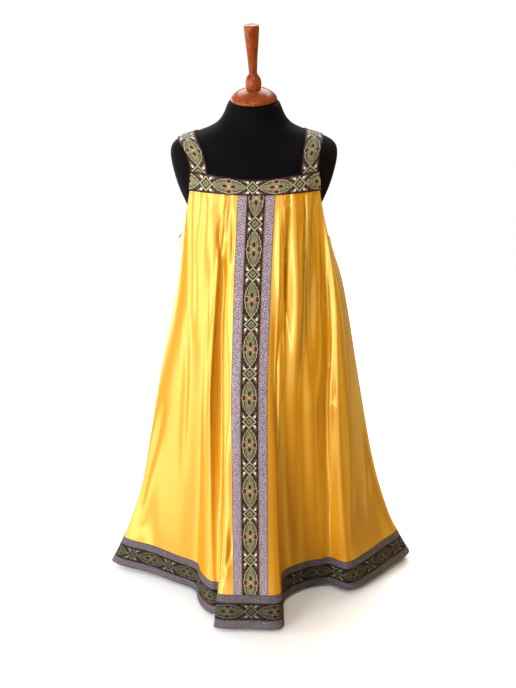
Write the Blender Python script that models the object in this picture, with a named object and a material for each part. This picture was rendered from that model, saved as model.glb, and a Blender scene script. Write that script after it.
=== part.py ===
"""A girl's sarafan of yellow satin with woven braid, worn by a child's dress form.

Metres, +Z up.  The floor is z = 0, the stand's pole is the Z axis and the dress faces -Y.
The skirt is one closed ring of folds, cut at the side seams into a front and a back.
Every trim is made from the skirt's own points, moved out.
"""
import math

import bmesh
import bpy
from mathutils import Vector

# Cloth
SATIN_WALL = 0.0012
TRIM_WALL = 0.0010
STRAP_WALL = 0.0012
GAP = 0.0003
BRAID_WIDTH = 0.0330
EDGING_WIDTH = 0.0173
STRAP_WIDTH = 0.0320
PLACKET_GAP = 0.0004
PLACKET_TUCK = 0.0030

# Heights of the dress
HEM_HEIGHT = 0.0100
HEM_RISE_AT_SIDES = 0.009
SKIRT_REACH = 0.340
MIDDLE_HEIGHT = 0.420
UPPER_HEIGHT = 0.640
UNDERARM_HEIGHT = 0.735
SKIRT_TOP = 0.8435
BAND_BOTTOM = 0.8395
BAND_TOP = 0.8738
BOTTOM_SAG = 0.0036
TOP_SAG = 0.0107

# Chest line
BAND_CENTRE_X = 0.002
BAND_HALF = 0.117
UNDERARM_HALF = 0.147
SEAM_STATION = 1.40
DRESS_EASE = 0.0030
BAND_EASE = 0.0053
NECK_EDGE_EASE = 0.0010
SHOULDER_EASE = 0.0006
SHOULDER_REACH = 0.2

# Dress form and stand
NECK_TILT = math.radians(11.0)
FINIAL_LEAN = math.radians(-2.0)
TILT_STARTS = 0.945
POLE_RADIUS = 0.011
BASE_RADIUS = 0.125
BASE_EDGE = 0.010
BASE_TOP = 0.020
POLE_SINK = 0.006

# How finely the solids are divided
COLUMN_PITCH = 0.023
SKIRT_ROWS = 10
TORSO_SIDES = 40
TURNED_SIDES = 24
BAND_COLUMNS = 20
BAND_ROWS = 5
STRAP_ROWS = 22
SEARCH_STEPS = 26
NEARLY_ONE = 0.999

# Sections of the torso: height, half width, half depth, centre y, squareness
TORSO_SECTIONS = (
    (0.3540, 0.112, 0.086, 0.004, 2.2),
    (0.3620, 0.119, 0.091, 0.004, 2.2),
    (0.4200, 0.125, 0.096, 0.004, 2.2),
    (0.4900, 0.122, 0.093, 0.002, 2.2),
    (0.5600, 0.110, 0.084, 0.000, 2.2),
    (0.6200, 0.102, 0.079, -0.002, 2.2),
    (0.6800, 0.104, 0.083, -0.003, 2.2),
    (0.7400, 0.110, 0.091, -0.003, 2.3),
    (0.7800, 0.118, 0.096, -0.002, 2.3),
    (0.8100, 0.132, 0.099, -0.001, 2.4),
    (0.8400, 0.145, 0.099, 0.000, 2.5),
    (0.8680, 0.153, 0.096, 0.002, 2.4),
    (0.8900, 0.158, 0.087, 0.005, 2.3),
    (0.9080, 0.158, 0.075, 0.008, 2.2),
    (0.9200, 0.150, 0.066, 0.010, 2.1),
    (0.9290, 0.132, 0.060, 0.010, 2.0),
    (0.9370, 0.106, 0.056, 0.009, 2.0),
    (0.9450, 0.083, 0.053, 0.008, 2.0),
    (0.9540, 0.067, 0.051, 0.006, 2.0),
    (0.9680, 0.057, 0.050, 0.004, 2.0),
    (0.9820, 0.0515, 0.0490, 0.001, 2.0),
    (0.9900, 0.0480, 0.0470, 0.000, 2.0),
    (0.9920, 0.0450, 0.0440, 0.000, 2.0),
)

# Folds of the front, from the wearer's right seam to the left one (the viewer's left to right).
# top station, top relief, upper x and y, middle x and y, hem x and y
FRONT_FOLDS = (
    (-1.40, 0.0000, -0.151, 0.020, -0.191, 0.030, -0.290, 0.044),  # right side seam
    (-1.30, 0.0000, -0.153, -0.012, -0.197, -0.008, -0.308, -0.010),  # hem corner
    (-1.08, 0.0000, -0.144, -0.052, -0.173, -0.056, -0.225, -0.048),
    (-0.84, 0.0008, -0.118, -0.090, -0.135, -0.096, -0.172, -0.078),
    (-0.62, 0.0000, -0.089, -0.106, -0.105, -0.119, -0.124, -0.108),  # hem crease
    (-0.56, 0.0000, -0.083, -0.110, -0.098, -0.128, -0.114, -0.145),
    (-0.51, 0.0000, -0.077, -0.113, -0.091, -0.136, -0.102, -0.172),
    (-0.46, 0.0000, -0.071, -0.116, -0.084, -0.143, -0.086, -0.190),  # right panel's edge
    (-0.42, -0.0008, -0.065, -0.108, -0.077, -0.131, -0.071, -0.195),  # long valley
    (-0.37, -0.0008, -0.056, -0.109, -0.062, -0.131, -0.067, -0.212),
    (-0.30, 0.0006, -0.047, -0.127, -0.048, -0.163, -0.076, -0.237),  # flap edge
    (0.024, 0.0000, -0.004, -0.131, -0.009, -0.168, -0.0055, -0.241),  # placket centre
    (0.33, 0.0004, 0.040, -0.129, 0.036, -0.163, 0.053, -0.239),  # flap edge
    (0.38, 0.0000, 0.046, -0.126, 0.041, -0.150, 0.058, -0.190),
    (0.42, 0.0000, 0.050, -0.119, 0.048, -0.151, 0.060, -0.146),
    (0.465, -0.0008, 0.054, -0.116, 0.060, -0.142, 0.076, -0.122),  # first pleat
    (0.58, 0.0010, 0.079, -0.124, 0.079, -0.138, 0.094, -0.107),  # tongue
    (0.70, -0.0008, 0.092, -0.109, 0.093, -0.131, 0.116, -0.093),  # second pleat
    (0.85, 0.0010, 0.111, -0.105, 0.116, -0.128, 0.140, -0.086),
    (0.99, -0.0006, 0.137, -0.079, 0.142, -0.101, 0.162, -0.088),  # side valley
    (1.09, 0.0004, 0.155, -0.084, 0.165, -0.113, 0.199, -0.112),  # side ridge
    (1.17, 0.0000, 0.168, -0.052, 0.189, -0.078, 0.245, -0.078),
    (1.25, 0.0000, 0.175, -0.018, 0.207, -0.034, 0.295, -0.026),
    (1.33, 0.0000, 0.175, 0.004, 0.2165, 0.002, 0.341, 0.028),  # hem corner
    (1.40, 0.0000, 0.169, 0.028, 0.210, 0.038, 0.318, 0.078),  # left side seam
)

# Folds of the back, onwards round to the first seam: top station, top relief, hem x and y
BACK_FOLDS = (
    (1.18, 0.0000, 0.285, 0.122),
    (1.00, -0.0006, 0.226, 0.124),
    (0.84, 0.0008, 0.213, 0.194),
    (0.63, -0.0008, 0.150, 0.184),
    (0.46, 0.0008, 0.122, 0.250),
    (0.26, -0.0008, 0.058, 0.206),
    (0.06, 0.0008, 0.012, 0.262),
    (-0.16, -0.0008, -0.050, 0.202),
    (-0.36, 0.0008, -0.094, 0.254),
    (-0.56, -0.0008, -0.140, 0.182),
    (-0.77, 0.0008, -0.206, 0.190),
    (-0.96, -0.0006, -0.224, 0.112),
    (-1.16, 0.0000, -0.282, 0.102),
)
PLACKET_FOLD = 11
LEFT_SEAM = len(FRONT_FOLDS) - 1
FOLD_COUNT = len(FRONT_FOLDS) + len(BACK_FOLDS)

# How a fold falls: an even part and a late kick towards the hem
FLARE_EVEN = 0.62
BACK_EVEN = 0.80
FLARE_POWER = 3.5

# Centre x of each strap on the chest, the shoulder and the back
STRAP_ROUTES = {
    "strap_left": (0.1020, 0.1130, 0.096),
    "strap_right": (-0.1005, -0.1270, -0.095),
}

# Turned pieces: radius and height above the piece's own foot
CAP_PROFILE = (
    (0.0, 0.0), (0.0405, 0.0), (0.0425, 0.0015), (0.0425, 0.0045), (0.0405, 0.0075),
    (0.0360, 0.0120), (0.0290, 0.0168), (0.0210, 0.0202), (0.0150, 0.0218), (0.0, 0.0218),
)
FINIAL_PROFILE = (
    (0.0, 0.0), (0.0138, 0.0), (0.0147, 0.0050), (0.0147, 0.0120), (0.0130, 0.0185),
    (0.0095, 0.0240), (0.0080, 0.0265), (0.0078, 0.0300), (0.0094, 0.0560), (0.0119, 0.0810),
    (0.0138, 0.1030), (0.0140, 0.1090), (0.0130, 0.1122), (0.0105, 0.1136), (0.0, 0.1136),
)
BASE_PROFILE = (
    (0.0, 0.0), (BASE_RADIUS - 0.002, 0.0), (BASE_RADIUS, 0.002), (BASE_RADIUS, BASE_EDGE - 0.003),
    (BASE_RADIUS - 0.004, BASE_EDGE), (0.040, 0.0145), (0.024, BASE_TOP),
    (POLE_RADIUS + GAP, BASE_TOP), (POLE_RADIUS + GAP, BASE_TOP - POLE_SINK),
    (0.0, BASE_TOP - POLE_SINK),
)


def clear_scene():
    for thing in list(bpy.data.objects):
        bpy.data.objects.remove(thing, do_unlink=True)


def material(name, colour, roughness, metallic=0.0):
    made = bpy.data.materials.get(name) or bpy.data.materials.new(name)
    made.use_nodes = True
    shader = made.node_tree.nodes["Principled BSDF"]
    shader.inputs["Base Color"].default_value = (*colour, 1.0)
    shader.inputs["Roughness"].default_value = roughness
    shader.inputs["Metallic"].default_value = metallic
    made.diffuse_color = (*colour, 1.0)
    return made


def add_object(name, bm, finish):
    bmesh.ops.recalc_face_normals(bm, faces=bm.faces)
    mesh = bpy.data.meshes.new(name)
    bm.to_mesh(mesh)
    bm.free()
    mesh.shade_smooth()
    mesh.set_sharp_from_angle(angle=math.radians(50))
    mesh.materials.append(finish)
    made = bpy.data.objects.new(name, mesh)
    bpy.context.scene.collection.objects.link(made)
    return made


def skin(bm, rows):
    """Faces between neighbouring rows of vertices."""
    for lower, upper in zip(rows, rows[1:]):
        for column in range(len(lower) - 1):
            bm.faces.new((lower[column], lower[column + 1], upper[column + 1], upper[column]))


def wall(name, outer, inner, finish):
    """A closed wall between two grids of points, outer and inner."""
    bm = bmesh.new()
    sheets = [[[bm.verts.new(point) for point in row] for row in grid] for grid in (outer, inner)]
    for sheet in sheets:
        skin(bm, sheet)
    for edge in (0, -1):
        skin(bm, [sheets[0][edge], sheets[1][edge]])
        skin(bm, [[row[edge] for row in sheet] for sheet in sheets])
    return add_object(name, bm, finish)


def turned(name, profile, finish):
    """A profile of (radius, height) spun once round Z."""
    bm = bmesh.new()
    points = [bm.verts.new((radius, 0.0, height)) for radius, height in profile]
    edges = [bm.edges.new(pair) for pair in zip(points, points[1:])]
    bmesh.ops.spin(bm, geom=points + edges, cent=(0, 0, 0), axis=(0, 0, 1),
                   angle=math.tau, steps=TURNED_SIDES, use_merge=True)
    bmesh.ops.remove_doubles(bm, verts=bm.verts, dist=0.00002)
    return add_object(name, bm, finish)


def hermite(start, end, start_slope, end_slope, span, part):
    """Cubic between two values, with slopes per unit of span."""
    rise = part * part * (3 - 2 * part)
    away = part * (1 - part) ** 2 * span
    back = part * part * (part - 1) * span
    return start + (end - start) * rise + start_slope * away + end_slope * back


def section_at(height):
    """Half width, half depth, centre y and squareness of the torso at a height."""
    rows = TORSO_SECTIONS
    height = min(max(height, rows[0][0]), rows[-1][0])
    place = max(i for i in range(len(rows) - 1) if rows[i][0] <= height)
    low, high = rows[place], rows[place + 1]
    span = high[0] - low[0]
    part = (height - low[0]) / span
    before = rows[max(place - 1, 0)]
    after = rows[min(place + 2, len(rows) - 1)]
    values = []
    for column in range(1, 5):
        slope_in = (high[column] - before[column]) / (high[0] - before[0])
        slope_out = (after[column] - low[column]) / (after[0] - low[0])
        values.append(hermite(low[column], high[column], slope_in, slope_out, span, part))
    return values


def torso_level(x, y, height):
    """Below 1 inside the torso, above 1 outside it."""
    half_width, half_depth, centre, squareness = section_at(height)
    return abs(x / half_width) ** squareness + abs((y - centre) / half_depth) ** squareness


def chest_point(x, height, side, ease):
    """On the torso at x, on the front (side -1) or the back (+1), moved out by ease."""
    half_width, half_depth, centre, squareness = section_at(height)
    across = min(abs(x) / half_width, NEARLY_ONE)
    along = (1 - across ** squareness) ** (1 / squareness)
    normal = Vector((math.copysign(across ** (squareness - 1) / half_width, x),
                     side * along ** (squareness - 1) / half_depth, 0.0)).normalized()
    return Vector((x, centre + side * half_depth * along, height)) + normal * ease


def hang(x):
    """How much of their sag the bands have at x: none at the straps, all of it between them."""
    part = min(abs(x - BAND_CENTRE_X) / BAND_HALF, 1.0)
    return (1 - part * part) ** 2


def top_point(ring_station, relief):
    """On the skirt's top edge: along the band to station 1, then down the armhole.

    Ring stations run on past the left seam, so the back is the front's mirror image.
    """
    side = -1 if ring_station <= SEAM_STATION else 1
    station = ring_station if side < 0 else 2 * SEAM_STATION - ring_station
    reach = min(abs(station), 1.0)
    x = BAND_CENTRE_X + math.copysign(BAND_HALF * reach, station)
    point = chest_point(x, SKIRT_TOP - BOTTOM_SAG * hang(x), side, DRESS_EASE + relief)
    down = (abs(station) - 1.0) / (SEAM_STATION - 1.0)
    if down <= 0:
        return point
    underarm_x = math.copysign(UNDERARM_HALF, station)
    turn = down * math.pi / 2
    return Vector((point.x + (underarm_x - point.x) * down,
                   point.y * math.cos(turn),
                   point.z + (UNDERARM_HEIGHT - point.z) * math.sin(turn)))


def fall(part, even):
    """Share of a fold's outward travel at a share of its way down."""
    return even * part + (1 - even) * part ** FLARE_POWER


def all_folds():
    """Ring station and relief, upper, middle and hem plan points of each fold."""
    folds = []
    for row in FRONT_FOLDS:
        station, relief, upper_x, upper_y, middle_x, middle_y, hem_x, hem_y = row
        folds.append((Vector((station, relief)), Vector((upper_x, upper_y)),
                      Vector((middle_x, middle_y)), Vector((hem_x, hem_y))))
    for station, relief, hem_x, hem_y in BACK_FOLDS:
        ring_station = 2 * SEAM_STATION - station
        top = top_point(ring_station, relief)
        hem = Vector((hem_x, hem_y))
        drop = top.z - HEM_HEIGHT
        plans = [top.xy.lerp(hem, fall((top.z - height) / drop, BACK_EVEN))
                 for height in (UPPER_HEIGHT, MIDDLE_HEIGHT)]
        folds.append((Vector((ring_station, relief)), plans[0], plans[1], hem))
    return folds


FOLDS = all_folds()


def fold_knots():
    """Spacing of the folds round the ring, from the square root of their distance."""
    knots = [0.0]
    for index in range(FOLD_COUNT):
        here, there = FOLDS[index], FOLDS[(index + 1) % FOLD_COUNT]
        apart = (here[3] - there[3]).length + (here[2] - there[2]).length
        knots.append(knots[-1] + math.sqrt(apart))
    return knots


KNOTS = fold_knots()


def knot(index):
    turns, place = divmod(index, FOLD_COUNT)
    return turns * KNOTS[FOLD_COUNT] + KNOTS[place]


def across_folds(level, along, once_round=Vector((0.0, 0.0))):
    """A smooth value at ring parameter along (fold index and part of the next span)."""
    place = math.floor(along)
    part = along - place
    spots = [knot(place + step) for step in (-1, 0, 1, 2)]
    before, low, high, after = [
        FOLDS[(place + step) % FOLD_COUNT][level] + once_round * ((place + step) // FOLD_COUNT)
        for step in (-1, 0, 1, 2)]
    span = spots[2] - spots[1]
    slope_low = (high - before) / (spots[2] - spots[0])
    slope_high = (after - low) / (spots[3] - spots[1])
    return hermite(low, high, slope_low, slope_high, span, part)


def hem_height(point):
    return HEM_HEIGHT + HEM_RISE_AT_SIDES * (abs(point.x) / SKIRT_REACH) ** 2


def column_controls(along):
    """Top point, upper, middle and hem plan points at a place round the skirt."""
    station, relief = across_folds(0, along, Vector((4 * SEAM_STATION, 0.0)))
    if station > 3 * SEAM_STATION:
        station -= 4 * SEAM_STATION
    return [top_point(station, relief)] + [across_folds(level, along) for level in (1, 2, 3)]


def on_column(controls, height):
    """Plan point of one column at a height: cubic down to the middle, then the flare."""
    top, upper, middle, hem = controls
    low = hem_height(hem)
    flare_slope = (hem - middle) * (-FLARE_EVEN / (MIDDLE_HEIGHT - low))
    if height <= MIDDLE_HEIGHT:
        part = (MIDDLE_HEIGHT - height) / (MIDDLE_HEIGHT - low)
        return middle.lerp(hem, fall(part, FLARE_EVEN))
    upper_slope = (top.xy - middle) / (top.z - MIDDLE_HEIGHT)
    if height <= UPPER_HEIGHT:
        span = UPPER_HEIGHT - MIDDLE_HEIGHT
        part = (height - MIDDLE_HEIGHT) / span
        return hermite(middle, upper, flare_slope, upper_slope, span, part)
    span = top.z - UPPER_HEIGHT
    part = (height - UPPER_HEIGHT) / span
    top_slope = (top.xy - upper) * (1.5 / span) - upper_slope * 0.5
    return hermite(upper, top.xy, upper_slope, top_slope, span, part)


HEM_STEPS = (0.0, EDGING_WIDTH, EDGING_WIDTH + BRAID_WIDTH, 2 * EDGING_WIDTH + BRAID_WIDTH)


def column_points(along):
    """Points of one column from the hem up: the three trim edges, then the plain satin."""
    controls = column_controls(along)
    low = hem_height(controls[3])
    trims_top = HEM_STEPS[-1]
    lean = (on_column(controls, low + trims_top) - controls[3]).length / trims_top
    upright = 1 / math.hypot(1.0, lean)
    heights = [low + step * upright for step in HEM_STEPS]
    start, finish = heights[-1], controls[0].z
    heights += [start + (finish - start) * row / SKIRT_ROWS for row in range(1, SKIRT_ROWS + 1)]
    points = []
    for height in heights:
        plan = on_column(controls, height)
        points.append(Vector((plan.x, plan.y, height)))
    return points


def ring_stations():
    """Places round the ring, a few in each span between folds."""
    stations = []
    for index in range(FOLD_COUNT):
        here, there = FOLDS[index], FOLDS[(index + 1) % FOLD_COUNT]
        count = max(2, math.ceil((here[3] - there[3]).length / COLUMN_PITCH))
        stations += [index + step / count for step in range(count)]
    return stations


def grid_normals(columns):
    """Outward unit normals of a closed ring of columns."""
    count = len(columns)
    normals = []
    for place in range(count):
        ahead, behind = columns[(place + 1) % count], columns[place - 1]
        here = columns[place]
        column_normals = []
        for row in range(len(here)):
            up = here[min(row + 1, len(here) - 1)] - here[max(row - 1, 0)]
            along = (ahead[row] - here[row]).normalized() + (here[row] - behind[row]).normalized()
            column_normals.append(along.cross(up).normalized())
        normals.append(column_normals)
    return normals


def moved(columns, normals, distance):
    return [[point + normal * distance for point, normal in zip(column, directions)]
            for column, directions in zip(columns, normals)]


def drawn_in(columns):
    """Both end columns moved in along the cloth by half a seam gap."""
    trimmed = [list(column) for column in columns]
    for end, inner in ((0, 1), (-1, -2)):
        trimmed[end] = [point + (towards - point).normalized() * GAP / 2
                        for point, towards in zip(columns[end], columns[inner])]
    return trimmed


def shortened(columns, below, above):
    """End rows moved in by half a gap where a strip has neighbours."""
    trimmed = []
    for column in columns:
        points = list(column)
        if below:
            points[0] = points[0] + (points[1] - points[0]).normalized() * GAP / 2
        if above:
            points[-1] = points[-1] + (points[-2] - points[-1]).normalized() * GAP / 2
        trimmed.append(points)
    return trimmed


def build_skirt(satin, braid, edging):
    """The front and back panels and the three rows of trim round the hem."""
    stations = ring_stations()
    columns = [column_points(station) for station in stations]
    normals = grid_normals(columns)
    seam = stations.index(LEFT_SEAM)
    panels = {
        "front": (columns[:seam + 1], normals[:seam + 1]),
        "back": (columns[seam:] + columns[:1], normals[seam:] + normals[:1]),
    }
    strips = (("hem_edging_lower", 0, 2, edging), ("hem_braid", 1, 3, braid),
              ("hem_edging_upper", 2, 4, edging))
    for side, (panel, directions) in panels.items():
        wall("skirt_" + side, drawn_in(panel), drawn_in(moved(panel, directions, -SATIN_WALL)),
             satin)
        for name, start, end, finish in strips:
            part = [column[start:end] for column in panel]
            faces = [column[start:end] for column in directions]
            sheets = [drawn_in(shortened(moved(part, faces, distance), start > 0, end < 4))
                      for distance in (GAP + TRIM_WALL, GAP)]
            wall(f"{name}_{side}", sheets[0], sheets[1], finish)


def beside_placket(x, heights):
    """The front's points at an offset x from the placket's centre line."""
    centre = column_controls(PLACKET_FOLD)
    points = []
    for height in heights:
        target = on_column(centre, height).x + x
        low, high = PLACKET_FOLD - 1, PLACKET_FOLD + 1
        for _ in range(SEARCH_STEPS):
            guess = (low + high) / 2
            if on_column(column_controls(guess), height).x > target:
                high = guess
            else:
                low = guess
        plan = on_column(column_controls(low), height)
        points.append(Vector((plan.x, plan.y, height)))
    return points


def sheet_normals(columns):
    """Unit normals of an open grid of columns, towards the wearer's front."""
    last = len(columns) - 1
    normals = []
    for place, column in enumerate(columns):
        ahead, behind = columns[min(place + 1, last)], columns[max(place - 1, 0)]
        directions = []
        for row in range(len(column)):
            up = column[min(row + 1, len(column) - 1)] - column[max(row - 1, 0)]
            directions.append((ahead[row] - behind[row]).cross(up).normalized())
        normals.append(directions)
    return normals


def build_placket(braid, edging):
    """Three strips of trim down the centre front, from the chest band to the hem trims."""
    heights = [point.z for point in column_points(PLACKET_FOLD)[len(HEM_STEPS) - 1:]]
    heights[0] += GAP
    heights[-1] = BAND_BOTTOM + PLACKET_TUCK - BOTTOM_SAG
    half = BRAID_WIDTH / 2
    strips = (
        ("placket_braid", -half, half, braid),
        ("placket_edging_right", -half - EDGING_WIDTH, -half - GAP, edging),
        ("placket_edging_left", half + GAP, half + EDGING_WIDTH, edging),
    )
    for name, start, end, finish in strips:
        columns = [beside_placket(start + (end - start) * step / 2, heights) for step in range(3)]
        normals = sheet_normals(columns)
        wall(name, moved(columns, normals, PLACKET_GAP + TRIM_WALL),
             moved(columns, normals, PLACKET_GAP), finish)


def band_top(x):
    return BAND_TOP - TOP_SAG * hang(x)


def band_ease(x, height):
    """The band lies over the skirt's top below and comes in to the chest above."""
    start = SKIRT_TOP - BOTTOM_SAG * hang(x)
    part = (height - start) / (band_top(x) - start)
    part = min(max(part, 0.0), 1.0)
    return BAND_EASE + (NECK_EDGE_EASE - BAND_EASE) * part * part * (3 - 2 * part)


def build_band(name, side, finish):
    """A flat band along the top of one skirt panel, from strap to strap."""
    sheets = []
    for thickness in (TRIM_WALL, 0.0):
        columns = []
        for step in range(BAND_COLUMNS + 1):
            x = BAND_CENTRE_X + BAND_HALF * (2 * step / BAND_COLUMNS - 1)
            start = BAND_BOTTOM - BOTTOM_SAG * hang(x)
            heights = [start + (band_top(x) - start) * row / BAND_ROWS
                       for row in range(BAND_ROWS + 1)]
            columns.append([chest_point(x, height, side, band_ease(x, height) + thickness)
                            for height in heights])
        sheets.append(columns)
    return wall(name, sheets[0], sheets[1], finish)


def shoulder_point(x, foot, turn, ease):
    """Over the shoulder at x, from the height foot: turn is 0 in front, half a circle behind."""
    middle_y = section_at(foot)[2]
    near, far = 0.0, SHOULDER_REACH
    for _ in range(SEARCH_STEPS):
        reach = (near + far) / 2
        y = middle_y - math.cos(turn) * reach
        inside = torso_level(x, y, foot + math.sin(turn) * reach) < 1
        near, far = (reach, far) if inside else (near, reach)
    reach = near + ease
    return Vector((x, middle_y - math.cos(turn) * reach, foot + math.sin(turn) * reach))


def build_strap(name, route, finish):
    """A strap that follows the shoulder from the chest band to the back band."""
    chest_x, shoulder_x, back_x = route
    sheets = []
    for thickness in (STRAP_WALL, 0.0):
        columns = []
        for side in range(4):
            offset = STRAP_WIDTH * (side / 3 - 0.5)
            foot = max(band_top(chest_x + offset), band_top(back_x + offset)) + GAP
            column = []
            for row in range(STRAP_ROWS + 1):
                turn = math.pi * row / STRAP_ROWS
                lift = math.sin(turn)
                end_x = chest_x if row * 2 < STRAP_ROWS else back_x
                x = end_x + (shoulder_x - end_x) * lift ** 1.5 + offset
                ease = NECK_EDGE_EASE + (SHOULDER_EASE - NECK_EDGE_EASE) * lift
                column.append(shoulder_point(x, foot, turn, ease + thickness))
            columns.append(column)
        sheets.append(columns)
    return wall(name, sheets[0], sheets[1], finish)


def build_torso(finish):
    """The covered form: superellipse rings, the neck's rings tilted forward."""
    bm = bmesh.new()
    rings = []
    top = TORSO_SECTIONS[-1][0]
    for height, half_width, half_depth, centre, squareness in TORSO_SECTIONS:
        share = min(max((height - TILT_STARTS) / (top - TILT_STARTS), 0.0), 1.0)
        slope = math.tan(NECK_TILT) * share
        ring = []
        for step in range(TORSO_SIDES):
            angle = math.tau * step / TORSO_SIDES
            across, along = math.cos(angle), math.sin(angle)
            x = half_width * math.copysign(abs(across) ** (2 / squareness), across)
            y = half_depth * math.copysign(abs(along) ** (2 / squareness), along)
            ring.append(bm.verts.new((x, centre + y, height + slope * y)))
        rings.append(ring)
    skin(bm, [ring + ring[:1] for ring in rings])
    bm.faces.new(rings[0])
    bm.faces.new(rings[-1])
    return add_object("form_torso", bm, finish)


def build_stand(wood, metal):
    """The neck cap and finial on one tilted axis, the pole and the round base."""
    tilt = (NECK_TILT, FINIAL_LEAN, 0.0)
    cap = turned("neck_cap", CAP_PROFILE, wood)
    finial = turned("finial", FINIAL_PROFILE, wood)
    cap.rotation_euler = tilt
    cap.location = (0.0, 0.0, TORSO_SECTIONS[-1][0])
    bpy.context.view_layer.update()
    axis = cap.matrix_world.to_quaternion() @ Vector((0.0, 0.0, 1.0))
    lift = GAP + math.sin(abs(FINIAL_LEAN)) * CAP_PROFILE[1][0]
    cap.location = cap.location + axis * lift
    finial.rotation_euler = tilt
    finial.location = cap.location + axis * (CAP_PROFILE[-1][1] + GAP)
    turned("stand_base", BASE_PROFILE, metal)
    foot = BASE_TOP - POLE_SINK + GAP
    head = TORSO_SECTIONS[0][0] - GAP
    pole = ((0.0, foot), (POLE_RADIUS, foot), (POLE_RADIUS, head), (0.0, head))
    turned("stand_pole", pole, metal)


def build():
    clear_scene()
    satin = material("yellow_satin", (0.86, 0.56, 0.08), 0.35)
    braid = material("woven_braid", (0.20, 0.16, 0.08), 0.55)
    edging = material("lilac_edging", (0.42, 0.34, 0.42), 0.55)
    cover = material("black_cover", (0.006, 0.006, 0.008), 0.6)
    wood = material("lacquered_wood", (0.28, 0.07, 0.025), 0.25)
    metal = material("dark_metal", (0.05, 0.05, 0.055), 0.4, 1.0)
    build_torso(cover)
    build_stand(wood, metal)
    build_skirt(satin, braid, edging)
    build_placket(braid, edging)
    build_band("chest_band", -1, braid)
    build_band("back_band", 1, braid)
    for name, route in STRAP_ROUTES.items():
        build_strap(name, route, braid)


build()
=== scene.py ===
# %% [markdown]
# # A girl's sarafan on a child's dress form
# A sarafan is a sleeveless dress whose wide skirt hangs from a chest band and two straps.
# The packed solids come first and stay as they are: they say where every piece belongs.
# Each piece is then made again, finer, in the same place, and takes over from its solid.
# Right and left are always the wearer's own.

import math

import bpy
import numpy as np
from mathutils import Matrix, Vector, noise


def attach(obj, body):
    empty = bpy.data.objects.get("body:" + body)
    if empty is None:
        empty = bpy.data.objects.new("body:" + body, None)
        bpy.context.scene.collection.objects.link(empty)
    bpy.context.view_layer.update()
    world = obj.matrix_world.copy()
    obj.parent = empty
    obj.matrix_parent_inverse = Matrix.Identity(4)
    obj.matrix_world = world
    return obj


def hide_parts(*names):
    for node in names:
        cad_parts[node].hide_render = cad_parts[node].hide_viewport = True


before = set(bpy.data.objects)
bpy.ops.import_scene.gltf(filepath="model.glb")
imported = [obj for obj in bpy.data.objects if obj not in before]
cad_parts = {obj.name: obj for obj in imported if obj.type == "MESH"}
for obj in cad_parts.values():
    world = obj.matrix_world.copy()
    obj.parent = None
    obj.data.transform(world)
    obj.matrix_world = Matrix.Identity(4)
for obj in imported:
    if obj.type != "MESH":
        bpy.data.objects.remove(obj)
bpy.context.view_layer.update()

# %% [markdown]
# ## Camera and studio
# A garment is shot from a standing height, far enough off that its hem looks almost level.
# The camera is set first, because every later choice is judged through it.
# Satin shows its lights as streaks, so each light is chosen for the folds that it will streak.
# Two broad ones stand on the side of the right panel, and the gap between them leaves some
# folds in the cloth's own deep orange. A slim one near the camera draws the middle, weak warm
# ones on the far side keep shaded folds from turning grey, and one from above lights the
# colour without shining back. None reaches below the floor, or it would shine up from there.

# %% Camera
CAMERA_PLACE = Vector((0.0075, -1.85, 1.17))
CAMERA_AIM = Vector((0.0075, 0.0, 0.515))
LENS_MILLIMETRES = 51.0


def turned_towards(place, aim):
    return (aim - place).to_track_quat("-Z", "Y").to_euler()


lens = bpy.data.cameras.new("camera")
lens.lens = LENS_MILLIMETRES
camera = bpy.data.objects.new("camera", lens)
camera.location = CAMERA_PLACE
camera.rotation_euler = turned_towards(CAMERA_PLACE, CAMERA_AIM)
bpy.context.scene.collection.objects.link(camera)
bpy.context.scene.camera = camera
print("camera at", tuple(round(value, 3) for value in camera.location))

# %% Lights
LIGHT_AIM = Vector((0.0, 0.0, 0.50))
WHITE = (1.0, 1.0, 1.0)
WARM = (1.0, 0.64, 0.18)
STUDIO_LIGHTS = (
    # name, degrees round from the front, degrees up, distance, width, height, power, colour
    ("back_softbox", -144, 6.6, 2.4, 1.4, 1.55, 32.5, WHITE),
    ("side_softbox", -82, 7.5, 2.4, 1.3, 1.62, 46.8, WHITE),
    ("key_softbox", -38, 6.2, 2.6, 1.2, 1.56, 74.6, WHITE),
    ("front_softbox", -10, 5.4, 3.0, 0.6, 1.56, 12.8, WHITE),
    ("far_side_softbox", 74, 6.8, 2.5, 0.9, 1.59, 15.9, WARM),
    ("far_back_softbox", 116, 6.6, 2.4, 1.2, 1.55, 11.8, WARM),
    ("high_softbox", 4, 50, 3.5, 1.4, 1.4, 52.0, WHITE),
    ("backdrop_light", 180, 42, 6.3, 6.0, 6.0, 900.0, WHITE),
)
for name, turn, rise, distance, width, height, power, colour in STUDIO_LIGHTS:
    turn, rise = math.radians(turn), math.radians(rise)
    place = LIGHT_AIM + distance * Vector((math.sin(turn) * math.cos(rise),
                                           -math.cos(turn) * math.cos(rise), math.sin(rise)))
    straight_down = Vector((place.x, place.y, 0.0))
    aim = straight_down if name == "backdrop_light" else LIGHT_AIM
    lamp = bpy.data.lights.new(name, "AREA")
    lamp.shape = "RECTANGLE"
    lamp.size = width
    lamp.size_y = height
    lamp.energy = power
    lamp.color = colour
    stand = bpy.data.objects.new(name, lamp)
    stand.location = place
    stand.rotation_euler = turned_towards(place, aim)
    bpy.context.scene.collection.objects.link(stand)
scene = bpy.context.scene
scene.view_settings.view_transform = "Standard"
print("lights:", len(STUDIO_LIGHTS))

# %% [markdown]
# The room is a plain world colour. It looks white behind the dress, but it lights the dress
# less than it looks, as a far white wall does, or the folds would be washed out.

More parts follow.
